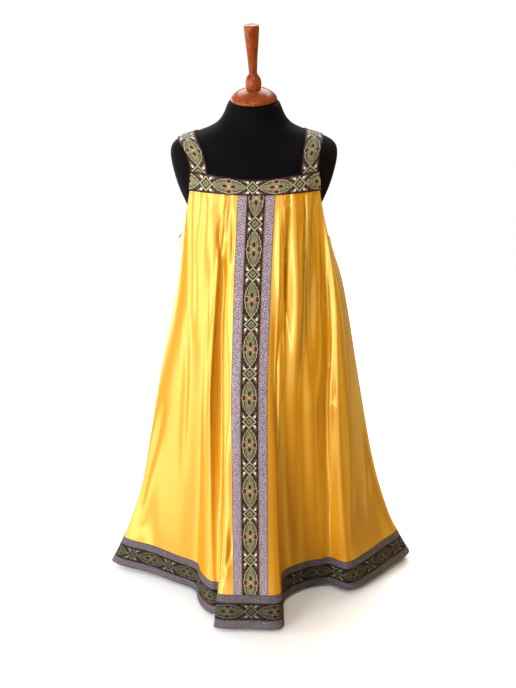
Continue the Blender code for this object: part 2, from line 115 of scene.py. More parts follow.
# %% Room
ROOM_LOOK = 1.0
ROOM_LIGHT = 0.012
room = bpy.data.worlds.new("room")
room.use_nodes = True
room_nodes = room.node_tree.nodes
room_strength = room_nodes.new("ShaderNodeMapRange")
room_strength.inputs["To Min"].default_value = ROOM_LIGHT
room_strength.inputs["To Max"].default_value = ROOM_LOOK
sight = room_nodes.new("ShaderNodeLightPath")
room.node_tree.links.new(sight.outputs["Is Camera Ray"], room_strength.inputs["Value"])
backdrop = room_nodes["Background"]
backdrop.inputs["Color"].default_value = (1.0, 1.0, 1.0, 1.0)
room.node_tree.links.new(room_strength.outputs["Result"], backdrop.inputs["Strength"])
scene.world = room
print("room light:", ROOM_LIGHT)

# %% [markdown]
# ## Finishes
# A pattern on cloth is arithmetic on the cloth's own coordinates: metres along a strip and
# metres across it. A painted image would do as well from afar, but arithmetic stays sharp from
# close by. The small class below wraps a node's output, so that such arithmetic can be written
# as a Python expression and each operator adds its Math node.


# %% Arithmetic on node outputs
class Strand:
    """One output of a node, to be used in expressions."""

    def __init__(self, finish, output):
        self.finish = finish
        self.output = output

    def work(self, operation, *values):
        return self.finish.node("ShaderNodeMath", {"operation": operation}, values)

    def __add__(self, other):
        return self.work("ADD", self, other)

    def __sub__(self, other):
        return self.work("SUBTRACT", self, other)

    def __rsub__(self, other):
        return self.work("SUBTRACT", other, self)

    def __mul__(self, other):
        return self.work("MULTIPLY", self, other)

    def __truediv__(self, other):
        return self.work("DIVIDE", self, other)

    def __mod__(self, other):
        return self.work("FLOORED_MODULO", self, other)

    def __pow__(self, other):
        return self.work("POWER", self, other)

    def __lt__(self, other):
        return self.work("LESS_THAN", self, other)

    def __gt__(self, other):
        return self.work("GREATER_THAN", self, other)

    def __and__(self, other):
        return self.work("MINIMUM", self, other)

    def __or__(self, other):
        return self.work("MAXIMUM", self, other)

    def __abs__(self):
        return self.work("ABSOLUTE", self)

    def sine(self):
        return self.work("SINE", self)

    def floor(self):
        return self.work("FLOOR", self)

    __radd__ = __add__
    __rmul__ = __mul__


def waves(where, pitch):
    """A sine wave along a coordinate, one to each pitch."""
    return (where * (math.tau / pitch)).sine()


print("a strand can:", ", ".join(
    name.strip("_") for name, method in vars(Strand).items() if callable(method)))

# %% [markdown]
# A finish is a material with its main shader. One method adds any node: its settings come
# first, because they can change its sockets, and then the values or links. Some sockets are
# known by number only, since a Mix node has one of each name for every kind of data.


# %% A finish and its nodes
MIX_FACTOR = 0
MIX_UNDER = 6
MIX_OVER = 7
MIX_RESULT = 2


class Finish:
    """A material, its main shader and a short way to add nodes to it."""

    def __init__(self, name, **fixed):
        self.material = bpy.data.materials.new(name)
        self.material.use_nodes = True
        self.tree = self.material.node_tree
        self.shader = self.tree.nodes["Principled BSDF"]
        for socket, value in fixed.items():
            self.shader.inputs[socket.replace("_", " ")].default_value = value

    def node(self, kind, settings=None, values=(), output=0):
        made = self.tree.nodes.new(kind)
        for name, value in (settings or {}).items():
            if name == "stops":
                for stop, (place, colour) in zip(self.room_for(made, len(value)), value):
                    stop.position = place
                    stop.color = (*colour, 1.0)
            else:
                setattr(made, name, value)
        pairs = values.items() if isinstance(values, dict) else enumerate(values)
        for socket, value in pairs:
            self.feed(made.inputs[socket], value)
        return Strand(self, made.outputs[output])

    def room_for(self, ramp, count):
        """The stops of a colour ramp, as many as are asked for."""
        stops = ramp.color_ramp.elements
        while len(stops) < count:
            stops.new(1.0)
        return stops

    def feed(self, socket, value):
        if isinstance(value, Strand):
            self.tree.links.new(value.output, socket)
        else:
            socket.default_value = value

    def dye(self, mask, under, over):
        """The colour over where the mask is 1 and the colour under where it is 0."""
        colours = [value if isinstance(value, Strand) else (*value, 1.0)
                   for value in (under, over)]
        return self.node("ShaderNodeMix", {"data_type": "RGBA"},
                         {MIX_FACTOR: mask, MIX_UNDER: colours[0], MIX_OVER: colours[1]},
                         output=MIX_RESULT)

    def shade(self, colour, amount):
        """A colour made lighter or darker by a number round 1."""
        grey = self.node("ShaderNodeCombineXYZ", None, (amount, amount, amount))
        return self.node("ShaderNodeVectorMath", {"operation": "MULTIPLY"}, (colour, grey))

    def cloth_place(self):
        """The cloth's own coordinates, in metres: along it, across it, and both as one vector."""
        uv = self.node("ShaderNodeUVMap", {"uv_map": "UVMap"})
        along = self.node("ShaderNodeSeparateXYZ", None, (uv,), output="X")
        across = Strand(self, along.output.node.outputs["Y"])
        return along, across, self.node("ShaderNodeCombineXYZ", None, (along, across))

    def solid_place(self):
        """The place in the piece's own space, in metres, for what has no flat pattern."""
        return self.node("ShaderNodeTexCoord", output="Object")

    def blotches(self, where, size, detail=2.0, stretch=(1.0, 1.0, 1.0)):
        """Soft noise from 0 to 1, with spots about as large as size."""
        scaled = self.node("ShaderNodeVectorMath", {"operation": "MULTIPLY"}, (where, stretch))
        return self.node("ShaderNodeTexNoise", None,
                         {"Vector": scaled, "Scale": 1.0 / size, "Detail": detail})

    def finish(self, colour=None, roughness=None, relief=None, depth=0.0002, strength=1.0):
        """Feed the shader: a colour, a roughness, and a relief as bump."""
        if colour is not None:
            self.feed(self.shader.inputs["Base Color"], colour)
        if roughness is not None:
            self.feed(self.shader.inputs["Roughness"], roughness)
        if relief is not None:
            bump = self.node("ShaderNodeBump", None,
                             {"Height": relief, "Distance": depth, "Strength": strength})
            self.feed(self.shader.inputs["Normal"], bump)
        return self.material


print("a finish can:", ", ".join(name for name in vars(Finish) if name[0] != "_"))

# %% [markdown]
# ### Yellow satin
# Satin is woven with long floats that all run down the cloth. They mirror a light crisply
# round the dress and smear it up and down, which is what Anisotropic does to the shine, with
# a quarter turn because the floats stand upright. The shine is tinted by the dyed yarn. Fine
# slubs and a very slight change of tone stop large panels from looking like plastic.

# %% Satin
SATIN_YELLOW = (0.640, 0.240, 0.005)
SHINE_TINT = (0.79, 1.00, 0.36, 1.0)
FLOAT_PITCH = 0.0007
FLOAT_LENGTH = 0.0021
TONE_SIZE = 0.11
SLUB_SIZE = 0.0016
SLUB_STRETCH = (1.0, 0.07, 1.0)
FLOAT_RELIEF = 0.00004

satin = Finish("yellow_satin", IOR=2.7, Specular_Tint=SHINE_TINT,
               Anisotropic=0.90, Anisotropic_Rotation=0.25)
along, across, place = satin.cloth_place()
tone = satin.blotches(place, TONE_SIZE, detail=3.0)
slubs = satin.blotches(place, SLUB_SIZE, stretch=SLUB_STRETCH)
floats = waves(along, FLOAT_PITCH) * waves(across, FLOAT_LENGTH)
yellow = satin.shade(SATIN_YELLOW, 0.93 + tone * 0.10 + slubs * 0.05)
rough = 0.42 + slubs * 0.10
satin_cloth = satin.finish(yellow, rough, slubs + floats * 0.25,
                           depth=FLOAT_RELIEF, strength=0.6)
print("finish:", satin_cloth.name)

# %% [markdown]
# ### Main braid
# The braid is a woven repeat, the same in both halves, so it is charted once in a quarter.
# `step` is the distance from the nearest diamond along the strip, `away` the distance from
# the star between two diamonds, and `side` the distance from the strip's middle line. All are
# rounded to whole threads, so edges come out stepped as on a loom. Each motif is a mask, and
# the colours are laid one over the other as a painter would.

# %% Colours and sizes of the braid
REPEAT = 0.0927
BRAID_HALF = 0.0165
THREAD = 0.00055
DIAMOND = 0.0122
DIAMOND_SIDE = 0.0126
FLECK_SIZE = 0.0024
GROUND_FLECKS = 0.60
MAROON_BLACK = (0.040, 0.011, 0.014)
EDGE_MAROON = (0.020, 0.007, 0.009)
CREAM = (0.56, 0.51, 0.34)
PALE = (0.84, 0.74, 0.62)
LEAF_GREEN = (0.105, 0.125, 0.050)
LEAF_BROWN = (0.140, 0.100, 0.042)
LEAF_LIGHT = (0.310, 0.290, 0.150)
OLD_GOLD = (0.500, 0.330, 0.125)
RUST = (0.300, 0.070, 0.030)
WINE = (0.170, 0.016, 0.026)
DARK_BROWN = (0.028, 0.015, 0.008)
print("threads across the braid:", round(2 * BRAID_HALF / THREAD))


def oval_spot(step, side, place, radii):
    """A mask of an ellipse in the chart."""
    far = ((step - place[0]) / radii[0]) ** 2.0 + ((side - place[1]) / radii[1]) ** 2.0
    return far < 1.0


def to_threads(distance):
    return (distance / THREAD + 0.5).floor() * THREAD


# %% [markdown]
# The leaf is a long pointed oval from diamond to diamond, with slanting veins, a scalloped rim
# and a brown heart. Its outline is broken by flecks, as a worn thread would break it.

# %% Chart of the leaf
LEAF_OPENS_IN = 0.025
LEAF_HALF = 0.0120
BULGE_REACH = 0.0085
BULGE = 0.0020
SCALLOP_PITCH = 0.0074
SCALLOP = 0.0006
HEART_REACH = 0.0165
VEIN_PITCH = 0.0052
VEIN_SHARE = 0.22
VEIN_SLANT = 1.1
LIGHT_FLECKS = 0.54
OUTLINE_GAPS = 0.58
OUTLINE_HALF = 0.0006
SHADOW_INSET = 0.0026
SHADOW_HALF = 0.0008
SHADOW_START = 0.020


def leaf(braid, colour, step, away, side, flecks):
    """The oval in two greens, and a mask of its outline."""
    opening = ((step - DIAMOND) / LEAF_OPENS_IN) | 0.0
    bulge = (1.0 - away / BULGE_REACH) | 0.0
    scallops = waves(step, SCALLOP_PITCH) * SCALLOP
    rim = ((opening & 1.0) * (math.pi / 2)).sine() * LEAF_HALF + bulge * BULGE + scallops
    green = braid.dye(away < HEART_REACH, LEAF_GREEN, LEAF_BROWN)
    green = braid.dye(flecks > LIGHT_FLECKS, green, LEAF_LIGHT)
    veins = ((step + side * VEIN_SLANT) / VEIN_PITCH % 1.0) < VEIN_SHARE
    green = braid.dye(veins, green, LEAF_LIGHT)
    shadow = (abs(side - (rim - SHADOW_INSET)) < SHADOW_HALF) & (step > SHADOW_START)
    green = braid.dye(shadow, green, DARK_BROWN)
    colour = braid.dye(side < rim, colour, green)
    outline = (abs(side - rim) < OUTLINE_HALF) & (step > DIAMOND) & (flecks < OUTLINE_GAPS)
    return braid.dye(outline, colour, CREAM), outline


print("leaf:", round((REPEAT - 2 * DIAMOND) * 1000), "mm long")

# %% [markdown]
# At the leaf's heart is a star of eight petals, with a wine-red eye at each side and a dark
# drop above and below. The eyes and drops are ovals, laid one over the other.

# %% Chart of the star
# place from the star's centre, radii, yarn
STAR_OVALS = (
    ((0.0, 0.0098), (0.0060, 0.0044), CREAM),
    ((0.0, 0.0098), (0.0050, 0.0035), DARK_BROWN),
    ((0.0, 0.0098), (0.0030, 0.0024), WINE),
    ((0.0080, 0.0), (0.0072, 0.0040), LEAF_LIGHT),
    ((0.0078, 0.0), (0.0058, 0.0028), DARK_BROWN),
)
STAR_GROUND = 0.0048
LONG_PETAL = 0.0068
CROSS_PETAL = 0.0058
PETAL_SLIMNESS = 5.0
SLANT_PETAL = 0.0128
SLANT_HALF = 0.0010
STAR_EYE = 0.0016


def star(braid, colour, away, side):
    for place, radii, yarn in STAR_OVALS:
        colour = braid.dye(oval_spot(away, side, place, radii), colour, yarn)
    colour = braid.dye((away + side) < STAR_GROUND, colour, RUST)
    crossing = ((away * PETAL_SLIMNESS + side) < LONG_PETAL) | (
        (away + side * PETAL_SLIMNESS) < CROSS_PETAL)
    slanting = (abs(away - side) < SLANT_HALF) & ((away + side) < SLANT_PETAL)
    petals = crossing | slanting
    colour = braid.dye(petals, colour, OLD_GOLD)
    return braid.dye((away + side) < STAR_EYE, colour, CREAM), petals


print("ovals in the star:", len(STAR_OVALS))

# %% [markdown]
# The diamond has a smaller one inside it, and four pale commas curl round it on the dark
# ground. The selvedges are almost black.

# %% Chart of the diamond and the whole braid
# radius of each line as a share of the diamond's
INNER_LINE = 0.42
DARK_LINE = 0.70
FILLED_TO = 0.93
LINE_HALF = 0.085
DARK_HALF = 0.09
# place from the diamond's centre, radii
CURL = ((0.0150, 0.0122), (0.0038, 0.0028))
COMMA = ((0.0102, 0.0098), (0.0033, 0.0027))
BITE = ((0.0120, 0.0082), (0.0020, 0.0017))
SELVEDGE = 0.0019


def diamond(braid, colour, step, side):
    reach = step / DIAMOND + side / DIAMOND_SIDE
    filled = braid.dye(abs(reach - INNER_LINE) < LINE_HALF, LEAF_GREEN, LEAF_LIGHT)
    filled = braid.dye(abs(reach - DARK_LINE) < DARK_HALF, filled, DARK_BROWN)
    colour = braid.dye(reach < FILLED_TO, colour, filled)
    rim = abs(reach - 1.0) < LINE_HALF
    colour = braid.dye(rim, colour, CREAM)
    colour = braid.dye(oval_spot(step, side, *CURL), colour, LEAF_GREEN)
    pale = (oval_spot(step, side, *COMMA) - oval_spot(step, side, *BITE)) > 0.5
    return braid.dye(pale, colour, PALE), rim | pale


def braid_chart(braid, along, across, place, repeat):
    """Colour of the braid and a mask of its raised threads."""
    repeats = along / repeat + 0.5
    step = to_threads(abs(repeats % 1.0 - 0.5) * REPEAT)
    side = to_threads(abs(across))
    away = to_threads(REPEAT / 2 - step)
    flecks = braid.blotches(place, FLECK_SIZE)
    ground = braid.dye(flecks > GROUND_FLECKS, MAROON_BLACK, RUST)
    colour, outline = leaf(braid, ground, step, away, side, flecks)
    colour, petals = star(braid, colour, away, side)
    colour, raised = diamond(braid, colour, step, side)
    colour = braid.dye(side > BRAID_HALF - SELVEDGE, colour, EDGE_MAROON)
    return colour, outline | petals | raised


print("braid repeat:", REPEAT)

# %% [markdown]
# The weave itself is a fine relief: weft lines across the strip, broken by the warp, with the
# pattern's threads standing a little higher. Near each edge a row of machine stitches pulls
# the braid down. The band at the chest is eased round the form, which shortens its repeat.
# The hem braid is woven on a nearly black ground, so it has a deeper tone.

# %% Braid finishes
STITCH_REPEAT = 0.0028
STITCH_INSET = 0.0012
STITCH_HALF = 0.0003
STITCH_SHARE = 0.6
WEFT_PITCH = 0.0009
WARP_PITCH = 0.0011
WEAVE_RELIEF = 0.00018
WEAR_SIZE = 0.018
CHEST_REPEAT = 0.0862
MAIN_TONE = 0.81
CHEST_TONE = 0.88
HEM_TONE = 0.27


def braid_finish(name, depth_of_tone, repeat=REPEAT):
    braid = Finish(name, Roughness=0.62, Sheen_Weight=0.03, Specular_IOR_Level=0.15)
    along, across, place = braid.cloth_place()
    colour, raised = braid_chart(braid, along, across, place, repeat)
    weft = waves(along, WEFT_PITCH)
    warp = waves(across, WARP_PITCH)
    stitch_row = abs(abs(across) - (BRAID_HALF - STITCH_INSET)) < STITCH_HALF
    stitch = stitch_row & ((along / STITCH_REPEAT % 1.0) < STITCH_SHARE)
    worn = braid.blotches(place, WEAR_SIZE, detail=3.0)
    colour = braid.shade(colour, (0.80 + worn * 0.36 + weft * warp * 0.12) * depth_of_tone)
    relief = weft * 0.3 + warp * 0.2 + raised * 0.8 - stitch * 1.6
    return braid.finish(colour, 0.50 + worn * 0.2, relief, depth=WEAVE_RELIEF, strength=0.8)


main_braid = braid_finish("woven_braid", MAIN_TONE)
chest_band_braid = braid_finish("woven_braid_chest", CHEST_TONE, CHEST_REPEAT)
hem_braid = braid_finish("woven_braid_hem", HEM_TONE)
print("finishes:", main_braid.name, chest_band_braid.name, hem_braid.name)

# %% [markdown]
# ### Lilac edging
# The edging is a narrow galloon of grey lilac in a herringbone twill: slanting lines that meet
# in the middle, broken by flecks of white and dark yarn. A saw-tooth of the coordinates draws
# the lines, and noise breaks them, because a tidy twill would look printed. Its selvedges have
# a row of dots in gold and bottle green.

# %% Edging finish
EDGING_HALF = 0.0085
HERRINGBONE_PITCH = 0.0056
HERRINGBONE_SLANT = 0.9
EDGING_FLECK = 0.0026
EDGING_BLOTCH = 0.016
ROSE_BLOTCHES = 0.54
EDGING_WEAR = 0.012
EDGING_WARP = 0.0010
EDGING_RELIEF = 0.00015
LIGHT_YARN = 1.24
DARK_YARN = 1.00
BORDER = 0.0015
DOT_PITCH = 0.0040
EDGING_TONE = 0.71
HEM_EDGING_TONE = 0.25
LILAC = (0.330, 0.235, 0.315)
LILAC_LIGHT = (0.60, 0.52, 0.58)
LILAC_DARK = (0.170, 0.120, 0.165)
ROSE = (0.50, 0.30, 0.36)
BOTTLE_GREEN = (0.050, 0.055, 0.035)


def edging_finish(name, depth_of_tone):
    edging = Finish(name, Roughness=0.6, Sheen_Weight=0.1, Specular_IOR_Level=0.3)
    along, across, place = edging.cloth_place()
    side = abs(across)
    flecks = edging.blotches(place, EDGING_FLECK)
    rosy = edging.blotches(place, EDGING_BLOTCH) > ROSE_BLOTCHES
    colour = edging.dye(rosy, LILAC, ROSE)
    slant = abs((along + side * HERRINGBONE_SLANT) / HERRINGBONE_PITCH % 1.0 - 0.5)
    yarn = slant * 0.7 + flecks * 1.9
    colour = edging.dye(yarn > LIGHT_YARN, colour, LILAC_LIGHT)
    colour = edging.dye(yarn < DARK_YARN, colour, LILAC_DARK)
    border = side > EDGING_HALF - BORDER
    dots = border & ((along / DOT_PITCH % 1.0) < 0.5)
    colour = edging.dye(border, colour, BOTTLE_GREEN)
    colour = edging.dye(dots, colour, OLD_GOLD)
    weft = waves(along, WEFT_PITCH)
    warp = waves(across, EDGING_WARP)
    worn = edging.blotches(place, EDGING_WEAR, detail=3.0)
    colour = edging.shade(colour, (0.84 + worn * 0.30 + weft * warp * 0.10) * depth_of_tone)
    relief = weft * 0.3 + warp * 0.2 + dots * 0.7 + (yarn > LIGHT_YARN) * 0.4
    return edging.finish(colour, 0.50 + worn * 0.2, relief, depth=EDGING_RELIEF, strength=0.8)


lilac_edging = edging_finish("lilac_edging", EDGING_TONE)
lilac_edging_hem = edging_finish("lilac_edging_hem", HEM_EDGING_TONE)
print("finishes:", lilac_edging.name, lilac_edging_hem.name)

# %% [markdown]
# ### Form, wood and stand
# The form wears black cotton jersey, a knit of tiny columns with a little lint on it. Bands of
# a Wave texture stand for the knit: at this size real loops would never be seen.

# %% Jersey
KNIT_SCALE = 260.0
LINT_SIZE = 0.012
JERSEY_BLACK = (0.0022, 0.0018, 0.0020)
jersey = Finish("black_jersey", Sheen_Weight=0.01, Sheen_Roughness=0.5,
                Specular_IOR_Level=0.05)
spot = jersey.solid_place()
knit = jersey.node("ShaderNodeTexWave", {"bands_direction": "Z"},
                   {"Vector": spot, "Scale": KNIT_SCALE, "Distortion": 1.5, "Detail": 1.0})
lint = jersey.blotches(spot, LINT_SIZE, detail=4.0)
black = jersey.shade(JERSEY_BLACK, 0.7 + lint * 0.7)
jersey_cover = jersey.finish(black, 0.72 + lint * 0.16, knit + lint * 0.6, strength=0.5)
print("finish:", jersey_cover.name)

# %% [markdown]
# The cap and the finial are turned hardwood under a red-brown lacquer: the grain runs along
# the axis, so its noise is stretched that way, and the clear coat on top gives the sharp
# highlights. The stand is painted metal with a slight orange-peel.

# %% Lacquered wood and painted metal
GRAIN_SIZE = 0.0032
FIGURE_SIZE = 0.020
GRAIN_STRETCH = (1.0, 1.0, 0.07)
FIGURE_STRETCH = (1.0, 1.0, 0.16)
# place on the ramp and colour, dark pores to light wood
STAIN = ((0.25, (0.080, 0.011, 0.002)), (0.50, (0.240, 0.040, 0.005)),
         (0.80, (0.380, 0.105, 0.018)))
wood = Finish("lacquered_wood", Specular_IOR_Level=0.15, Coat_Weight=0.16, Coat_Roughness=0.05)
spot = wood.solid_place()
grain = wood.blotches(spot, GRAIN_SIZE, detail=5.0, stretch=GRAIN_STRETCH)
figure = wood.blotches(spot, FIGURE_SIZE, detail=3.0, stretch=FIGURE_STRETCH)
stain = wood.node("ShaderNodeValToRGB", {"stops": STAIN}, (grain * 0.6 + figure * 0.4,))
turned_wood = wood.finish(stain, 0.30 + grain * 0.25, grain, depth=0.00008, strength=0.35)

PEEL_SIZE = 0.0015
DUST_SIZE = 0.05
METAL_GREY = (0.045, 0.045, 0.050)
paint = Finish("dark_painted_metal", Metallic=0.6, Roughness=0.4)
spot = paint.solid_place()
peel = paint.blotches(spot, PEEL_SIZE)
dust = paint.blotches(spot, DUST_SIZE, detail=4.0)
grey = paint.shade(METAL_GREY, 0.85 + dust * 0.35)
stand_paint = paint.finish(grey, 0.32 + dust * 0.22, peel, depth=0.00005, strength=0.4)
print("finishes:", turned_wood.name, stand_paint.name)

# %% [markdown]
# ## Working with operators
# An operator acts on everything that is selected, and the loaded solids start out selected.
# So each step first clears the selection and picks its own object.


# %% Select one thing, apply one modifier
def only(thing):
    bpy.ops.object.select_all(action="DESELECT")
    thing.select_set(True)
    bpy.context.view_layer.objects.active = thing


def with_modifier(thing, kind, **settings):
    """Add a modifier, set it and apply it."""
    made = thing.modifiers.new(kind.lower(), kind)
    for name, value in settings.items():
        setattr(made, name, value)
    only(thing)
    bpy.ops.object.modifier_apply(modifier=made.name)


def place_on_frame(piece, slot, *nodes):
    """The piece rides on the one body and stands for its solids. Its slot is not used."""
    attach(piece, "root")
    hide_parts(*nodes)


print("selected after loading:", len(bpy.context.selected_objects))

# %% [markdown]
# A sheet of cloth starts as a flat grid, as if lying on the cutting table. Each of its points
# is then moved to its place on the dress, and each keeps its place on the table in the UV
# map, in metres, so that weaves and braids stay at their real scale however the cloth folds.
# A wall gives it thickness on the inner side. A cloth simulation could drop the sheet instead,
# but its folds would not land where the solids have them.

# %% Cloth from a flat grid
CLOTH_SHARP_FROM = math.radians(50)


def cloth(name, points, flat, wall, finish):
    """points and flat are arrays of columns by rows: places in space and on the table."""
    columns, rows = points.shape[:2]
    bpy.ops.object.select_all(action="DESELECT")
    bpy.ops.mesh.primitive_grid_add(x_subdivisions=columns - 1, y_subdivisions=rows - 1, size=1)
    piece = bpy.context.object
    piece.name = name
    mesh = piece.data
    mesh.name = name
    spots = np.empty(len(mesh.vertices) * 3, np.float32)
    mesh.vertices.foreach_get("co", spots)
    spots = spots.reshape(-1, 3)
    column = np.rint((spots[:, 0] + 0.5) * (columns - 1)).astype(int)
    row = np.rint((spots[:, 1] + 0.5) * (rows - 1)).astype(int)
    mesh.vertices.foreach_set("co", points[column, row].astype(np.float32).ravel())
    corners = np.empty(len(mesh.loops), np.int32)
    mesh.loops.foreach_get("vertex_index", corners)
    on_table = flat[column, row][corners].astype(np.float32)
    mesh.uv_layers.active.name = "UVMap"
    mesh.uv_layers.active.data.foreach_set("uv", on_table.ravel())
    mesh.update()
    mesh.materials.append(finish)
    with_modifier(piece, "SOLIDIFY", thickness=wall, offset=-1.0, use_even_offset=False)
    only(piece)
    bpy.ops.object.shade_smooth_by_angle(angle=CLOTH_SHARP_FROM)
    return piece


def lengths_along(points, axis):
    """Running length of a grid of points along its columns or rows, starting at 0."""
    steps = np.linalg.norm(np.diff(points, axis=axis), axis=2)
    start = np.zeros_like(steps[:1] if axis == 0 else steps[:, :1])
    return np.concatenate([start, np.cumsum(steps, axis=axis)], axis=axis)


diagonal = np.array([[(0.0, 0.0, 0.0), (3.0, 4.0, 0.0)]])
print("a step of 3 by 4 is", lengths_along(diagonal, 1)[0, -1], "long")

# %% [markdown]
# ## The skirt's main folds
# Each row of this table is one fold, from the right side seam across the front to the left
# one. A fold is known by where it leaves the top edge and where it stands at two heights and
# at the hem. Everything between is a smooth curve, first round the dress and then down it.

# %% Fold table
SEAM_STATION = 1.40
SKIRT_TOP = 0.8435
UPPER_HEIGHT = 0.640
MIDDLE_HEIGHT = 0.420
UNDERARM_HEIGHT = 0.735
HEM_HEIGHT = 0.0100
HEM_RISE = 0.009
SKIRT_REACH = 0.340
# top station, top relief, upper x and y, middle x and y, hem x and y
FRONT_FOLDS = (
    (-1.40, 0.0000, -0.151, 0.020, -0.191, 0.030, -0.290, 0.044),  # right side seam
    (-1.30, 0.0000, -0.153, -0.012, -0.197, -0.008, -0.308, -0.010),  # hem corner
    (-1.08, 0.0000, -0.144, -0.052, -0.173, -0.056, -0.225, -0.048),
    (-0.84, 0.0008, -0.118, -0.090, -0.135, -0.096, -0.172, -0.078),
    (-0.62, 0.0000, -0.089, -0.106, -0.105, -0.119, -0.124, -0.108),  # hem crease
    (-0.56, 0.0000, -0.083, -0.110, -0.098, -0.128, -0.114, -0.145),
    (-0.51, 0.0000, -0.077, -0.113, -0.091, -0.136, -0.102, -0.172),
    (-0.46, 0.0000, -0.071, -0.116, -0.084, -0.143, -0.086, -0.190),  # right panel's edge
    (-0.42, -0.0008, -0.065, -0.108, -0.077, -0.131, -0.071, -0.195),  # long valley
    (-0.37, -0.0008, -0.056, -0.109, -0.062, -0.131, -0.067, -0.212),
    (-0.30, 0.0006, -0.047, -0.127, -0.048, -0.163, -0.076, -0.237),  # flap edge
    (0.024, 0.0000, -0.004, -0.131, -0.009, -0.168, -0.0055, -0.241),  # placket centre
    (0.33, 0.0004, 0.040, -0.129, 0.036, -0.163, 0.053, -0.239),  # flap edge
    (0.38, 0.0000, 0.046, -0.126, 0.041, -0.150, 0.058, -0.190),
    (0.42, 0.0000, 0.050, -0.119, 0.048, -0.151, 0.060, -0.146),
    (0.465, -0.0008, 0.054, -0.116, 0.060, -0.142, 0.076, -0.122),  # first pleat
    (0.58, 0.0010, 0.079, -0.124, 0.079, -0.138, 0.094, -0.107),  # tongue
    (0.70, -0.0008, 0.092, -0.109, 0.093, -0.131, 0.116, -0.093),  # second pleat
    (0.85, 0.0010, 0.111, -0.105, 0.116, -0.128, 0.140, -0.086),
    (0.99, -0.0006, 0.137, -0.079, 0.142, -0.101, 0.162, -0.088),  # side valley
    (1.09, 0.0004, 0.155, -0.084, 0.165, -0.113, 0.199, -0.112),  # side ridge
    (1.17, 0.0000, 0.168, -0.052, 0.189, -0.078, 0.245, -0.078),
    (1.25, 0.0000, 0.175, -0.018, 0.207, -0.034, 0.295, -0.026),
    (1.33, 0.0000, 0.175, 0.004, 0.2165, 0.002, 0.341, 0.028),  # hem corner
    (1.40, 0.0000, 0.169, 0.028, 0.210, 0.038, 0.318, 0.078),  # left side seam
)
# the back, onwards round to the first seam: top station, top relief, hem x and y
BACK_FOLDS = (
    (1.18, 0.0000, 0.285, 0.122), (1.00, -0.0006, 0.226, 0.124), (0.84, 0.0008, 0.213, 0.194),
    (0.63, -0.0008, 0.150, 0.184), (0.46, 0.0008, 0.122, 0.250), (0.26, -0.0008, 0.058, 0.206),
    (0.06, 0.0008, 0.012, 0.262), (-0.16, -0.0008, -0.050, 0.202),
    (-0.36, 0.0008, -0.094, 0.254), (-0.56, -0.0008, -0.140, 0.182),
    (-0.77, 0.0008, -0.206, 0.190), (-0.96, -0.0006, -0.224, 0.112),
    (-1.16, 0.0000, -0.282, 0.102),
)
PLACKET_FOLD = 11
LEFT_SEAM = len(FRONT_FOLDS) - 1
CENTRE_BACK_FOLD = 31
FOLD_COUNT = len(FRONT_FOLDS) + len(BACK_FOLDS)
print("folds round the skirt:", FOLD_COUNT)

# %% [markdown]
# The top edge lies on the form's chest, so the form's own sections are needed too: half width,
# half depth, centre and how square the oval is, at each height.

# %% Sections of the form's chest
# height, half width, half depth, centre y, squareness
CHEST_SECTIONS = (
    (0.7400, 0.110, 0.091, -0.003, 2.3),
    (0.7800, 0.118, 0.096, -0.002, 2.3),
    (0.8100, 0.132, 0.099, -0.001, 2.4),
    (0.8400, 0.145, 0.099, 0.000, 2.5),
    (0.8680, 0.153, 0.096, 0.002, 2.4),
    (0.8900, 0.158, 0.087, 0.005, 2.3),
    (0.9080, 0.158, 0.075, 0.008, 2.2),
    (0.9200, 0.150, 0.066, 0.010, 2.1),
    (0.9290, 0.132, 0.060, 0.010, 2.0),
    (0.9370, 0.106, 0.056, 0.009, 2.0),
    (0.9450, 0.083, 0.053, 0.008, 2.0),
    (0.9540, 0.067, 0.051, 0.006, 2.0),
)


def hermite(start, end, start_slope, end_slope, span, part):
    """Cubic between two values, with slopes per unit of span."""
    rise = part * part * (3 - 2 * part)
    away = part * (1 - part) ** 2 * span
    back = part * part * (part - 1) * span
    return start + (end - start) * rise + start_slope * away + end_slope * back


def section_at(height):
    rows = CHEST_SECTIONS
    height = min(max(height, rows[0][0]), rows[-1][0])
    place = max(i for i in range(len(rows) - 1) if rows[i][0] <= height)
    low, high = rows[place], rows[place + 1]
    span = high[0] - low[0]
    before = rows[max(place - 1, 0)]
    after = rows[min(place + 2, len(rows) - 1)]
    values = []
    for column in range(1, 5):
        slope_in = (high[column] - before[column]) / (high[0] - before[0])
        slope_out = (after[column] - low[column]) / (after[0] - low[0])
        part = (height - low[0]) / span
        values.append(hermite(low[column], high[column], slope_in, slope_out, span, part))
    return values


def chest_point(x, height, side, ease):
    """On the chest (side -1) or the back (side 1) at x, moved out by ease."""
    half_width, half_depth, centre, squareness = section_at(height)
    across = min(abs(x) / half_width, 0.999)
    along = (1 - across ** squareness) ** (1 / squareness)
    normal = Vector((math.copysign(across ** (squareness - 1) / half_width, x),
                     side * along ** (squareness - 1) / half_depth, 0.0)).normalized()
    return Vector((x, centre + side * half_depth * along, height)) + normal * ease


print("half width at the chest band:", round(section_at(0.8535)[0], 4))

# %% [markdown]
# The top edge runs straight along the band and then dips in a quarter of an oval to the
# underarm, which cuts the armhole. Stations run on past the left seam, so the back is the
# front's mirror image.

# %% Top edge
BAND_CENTRE_X = 0.002
BAND_HALF = 0.117
UNDERARM_HALF = 0.147
CHEST_LINE = 0.825
DRESS_EASE = 0.0030
BOTTOM_SAG = 0.0036


def hang(x):
    """How much of their sag the bands have at x: none at the straps, all between them."""
    part = min(abs(x - BAND_CENTRE_X) / BAND_HALF, 1.0)
    return (1 - part * part) ** 2


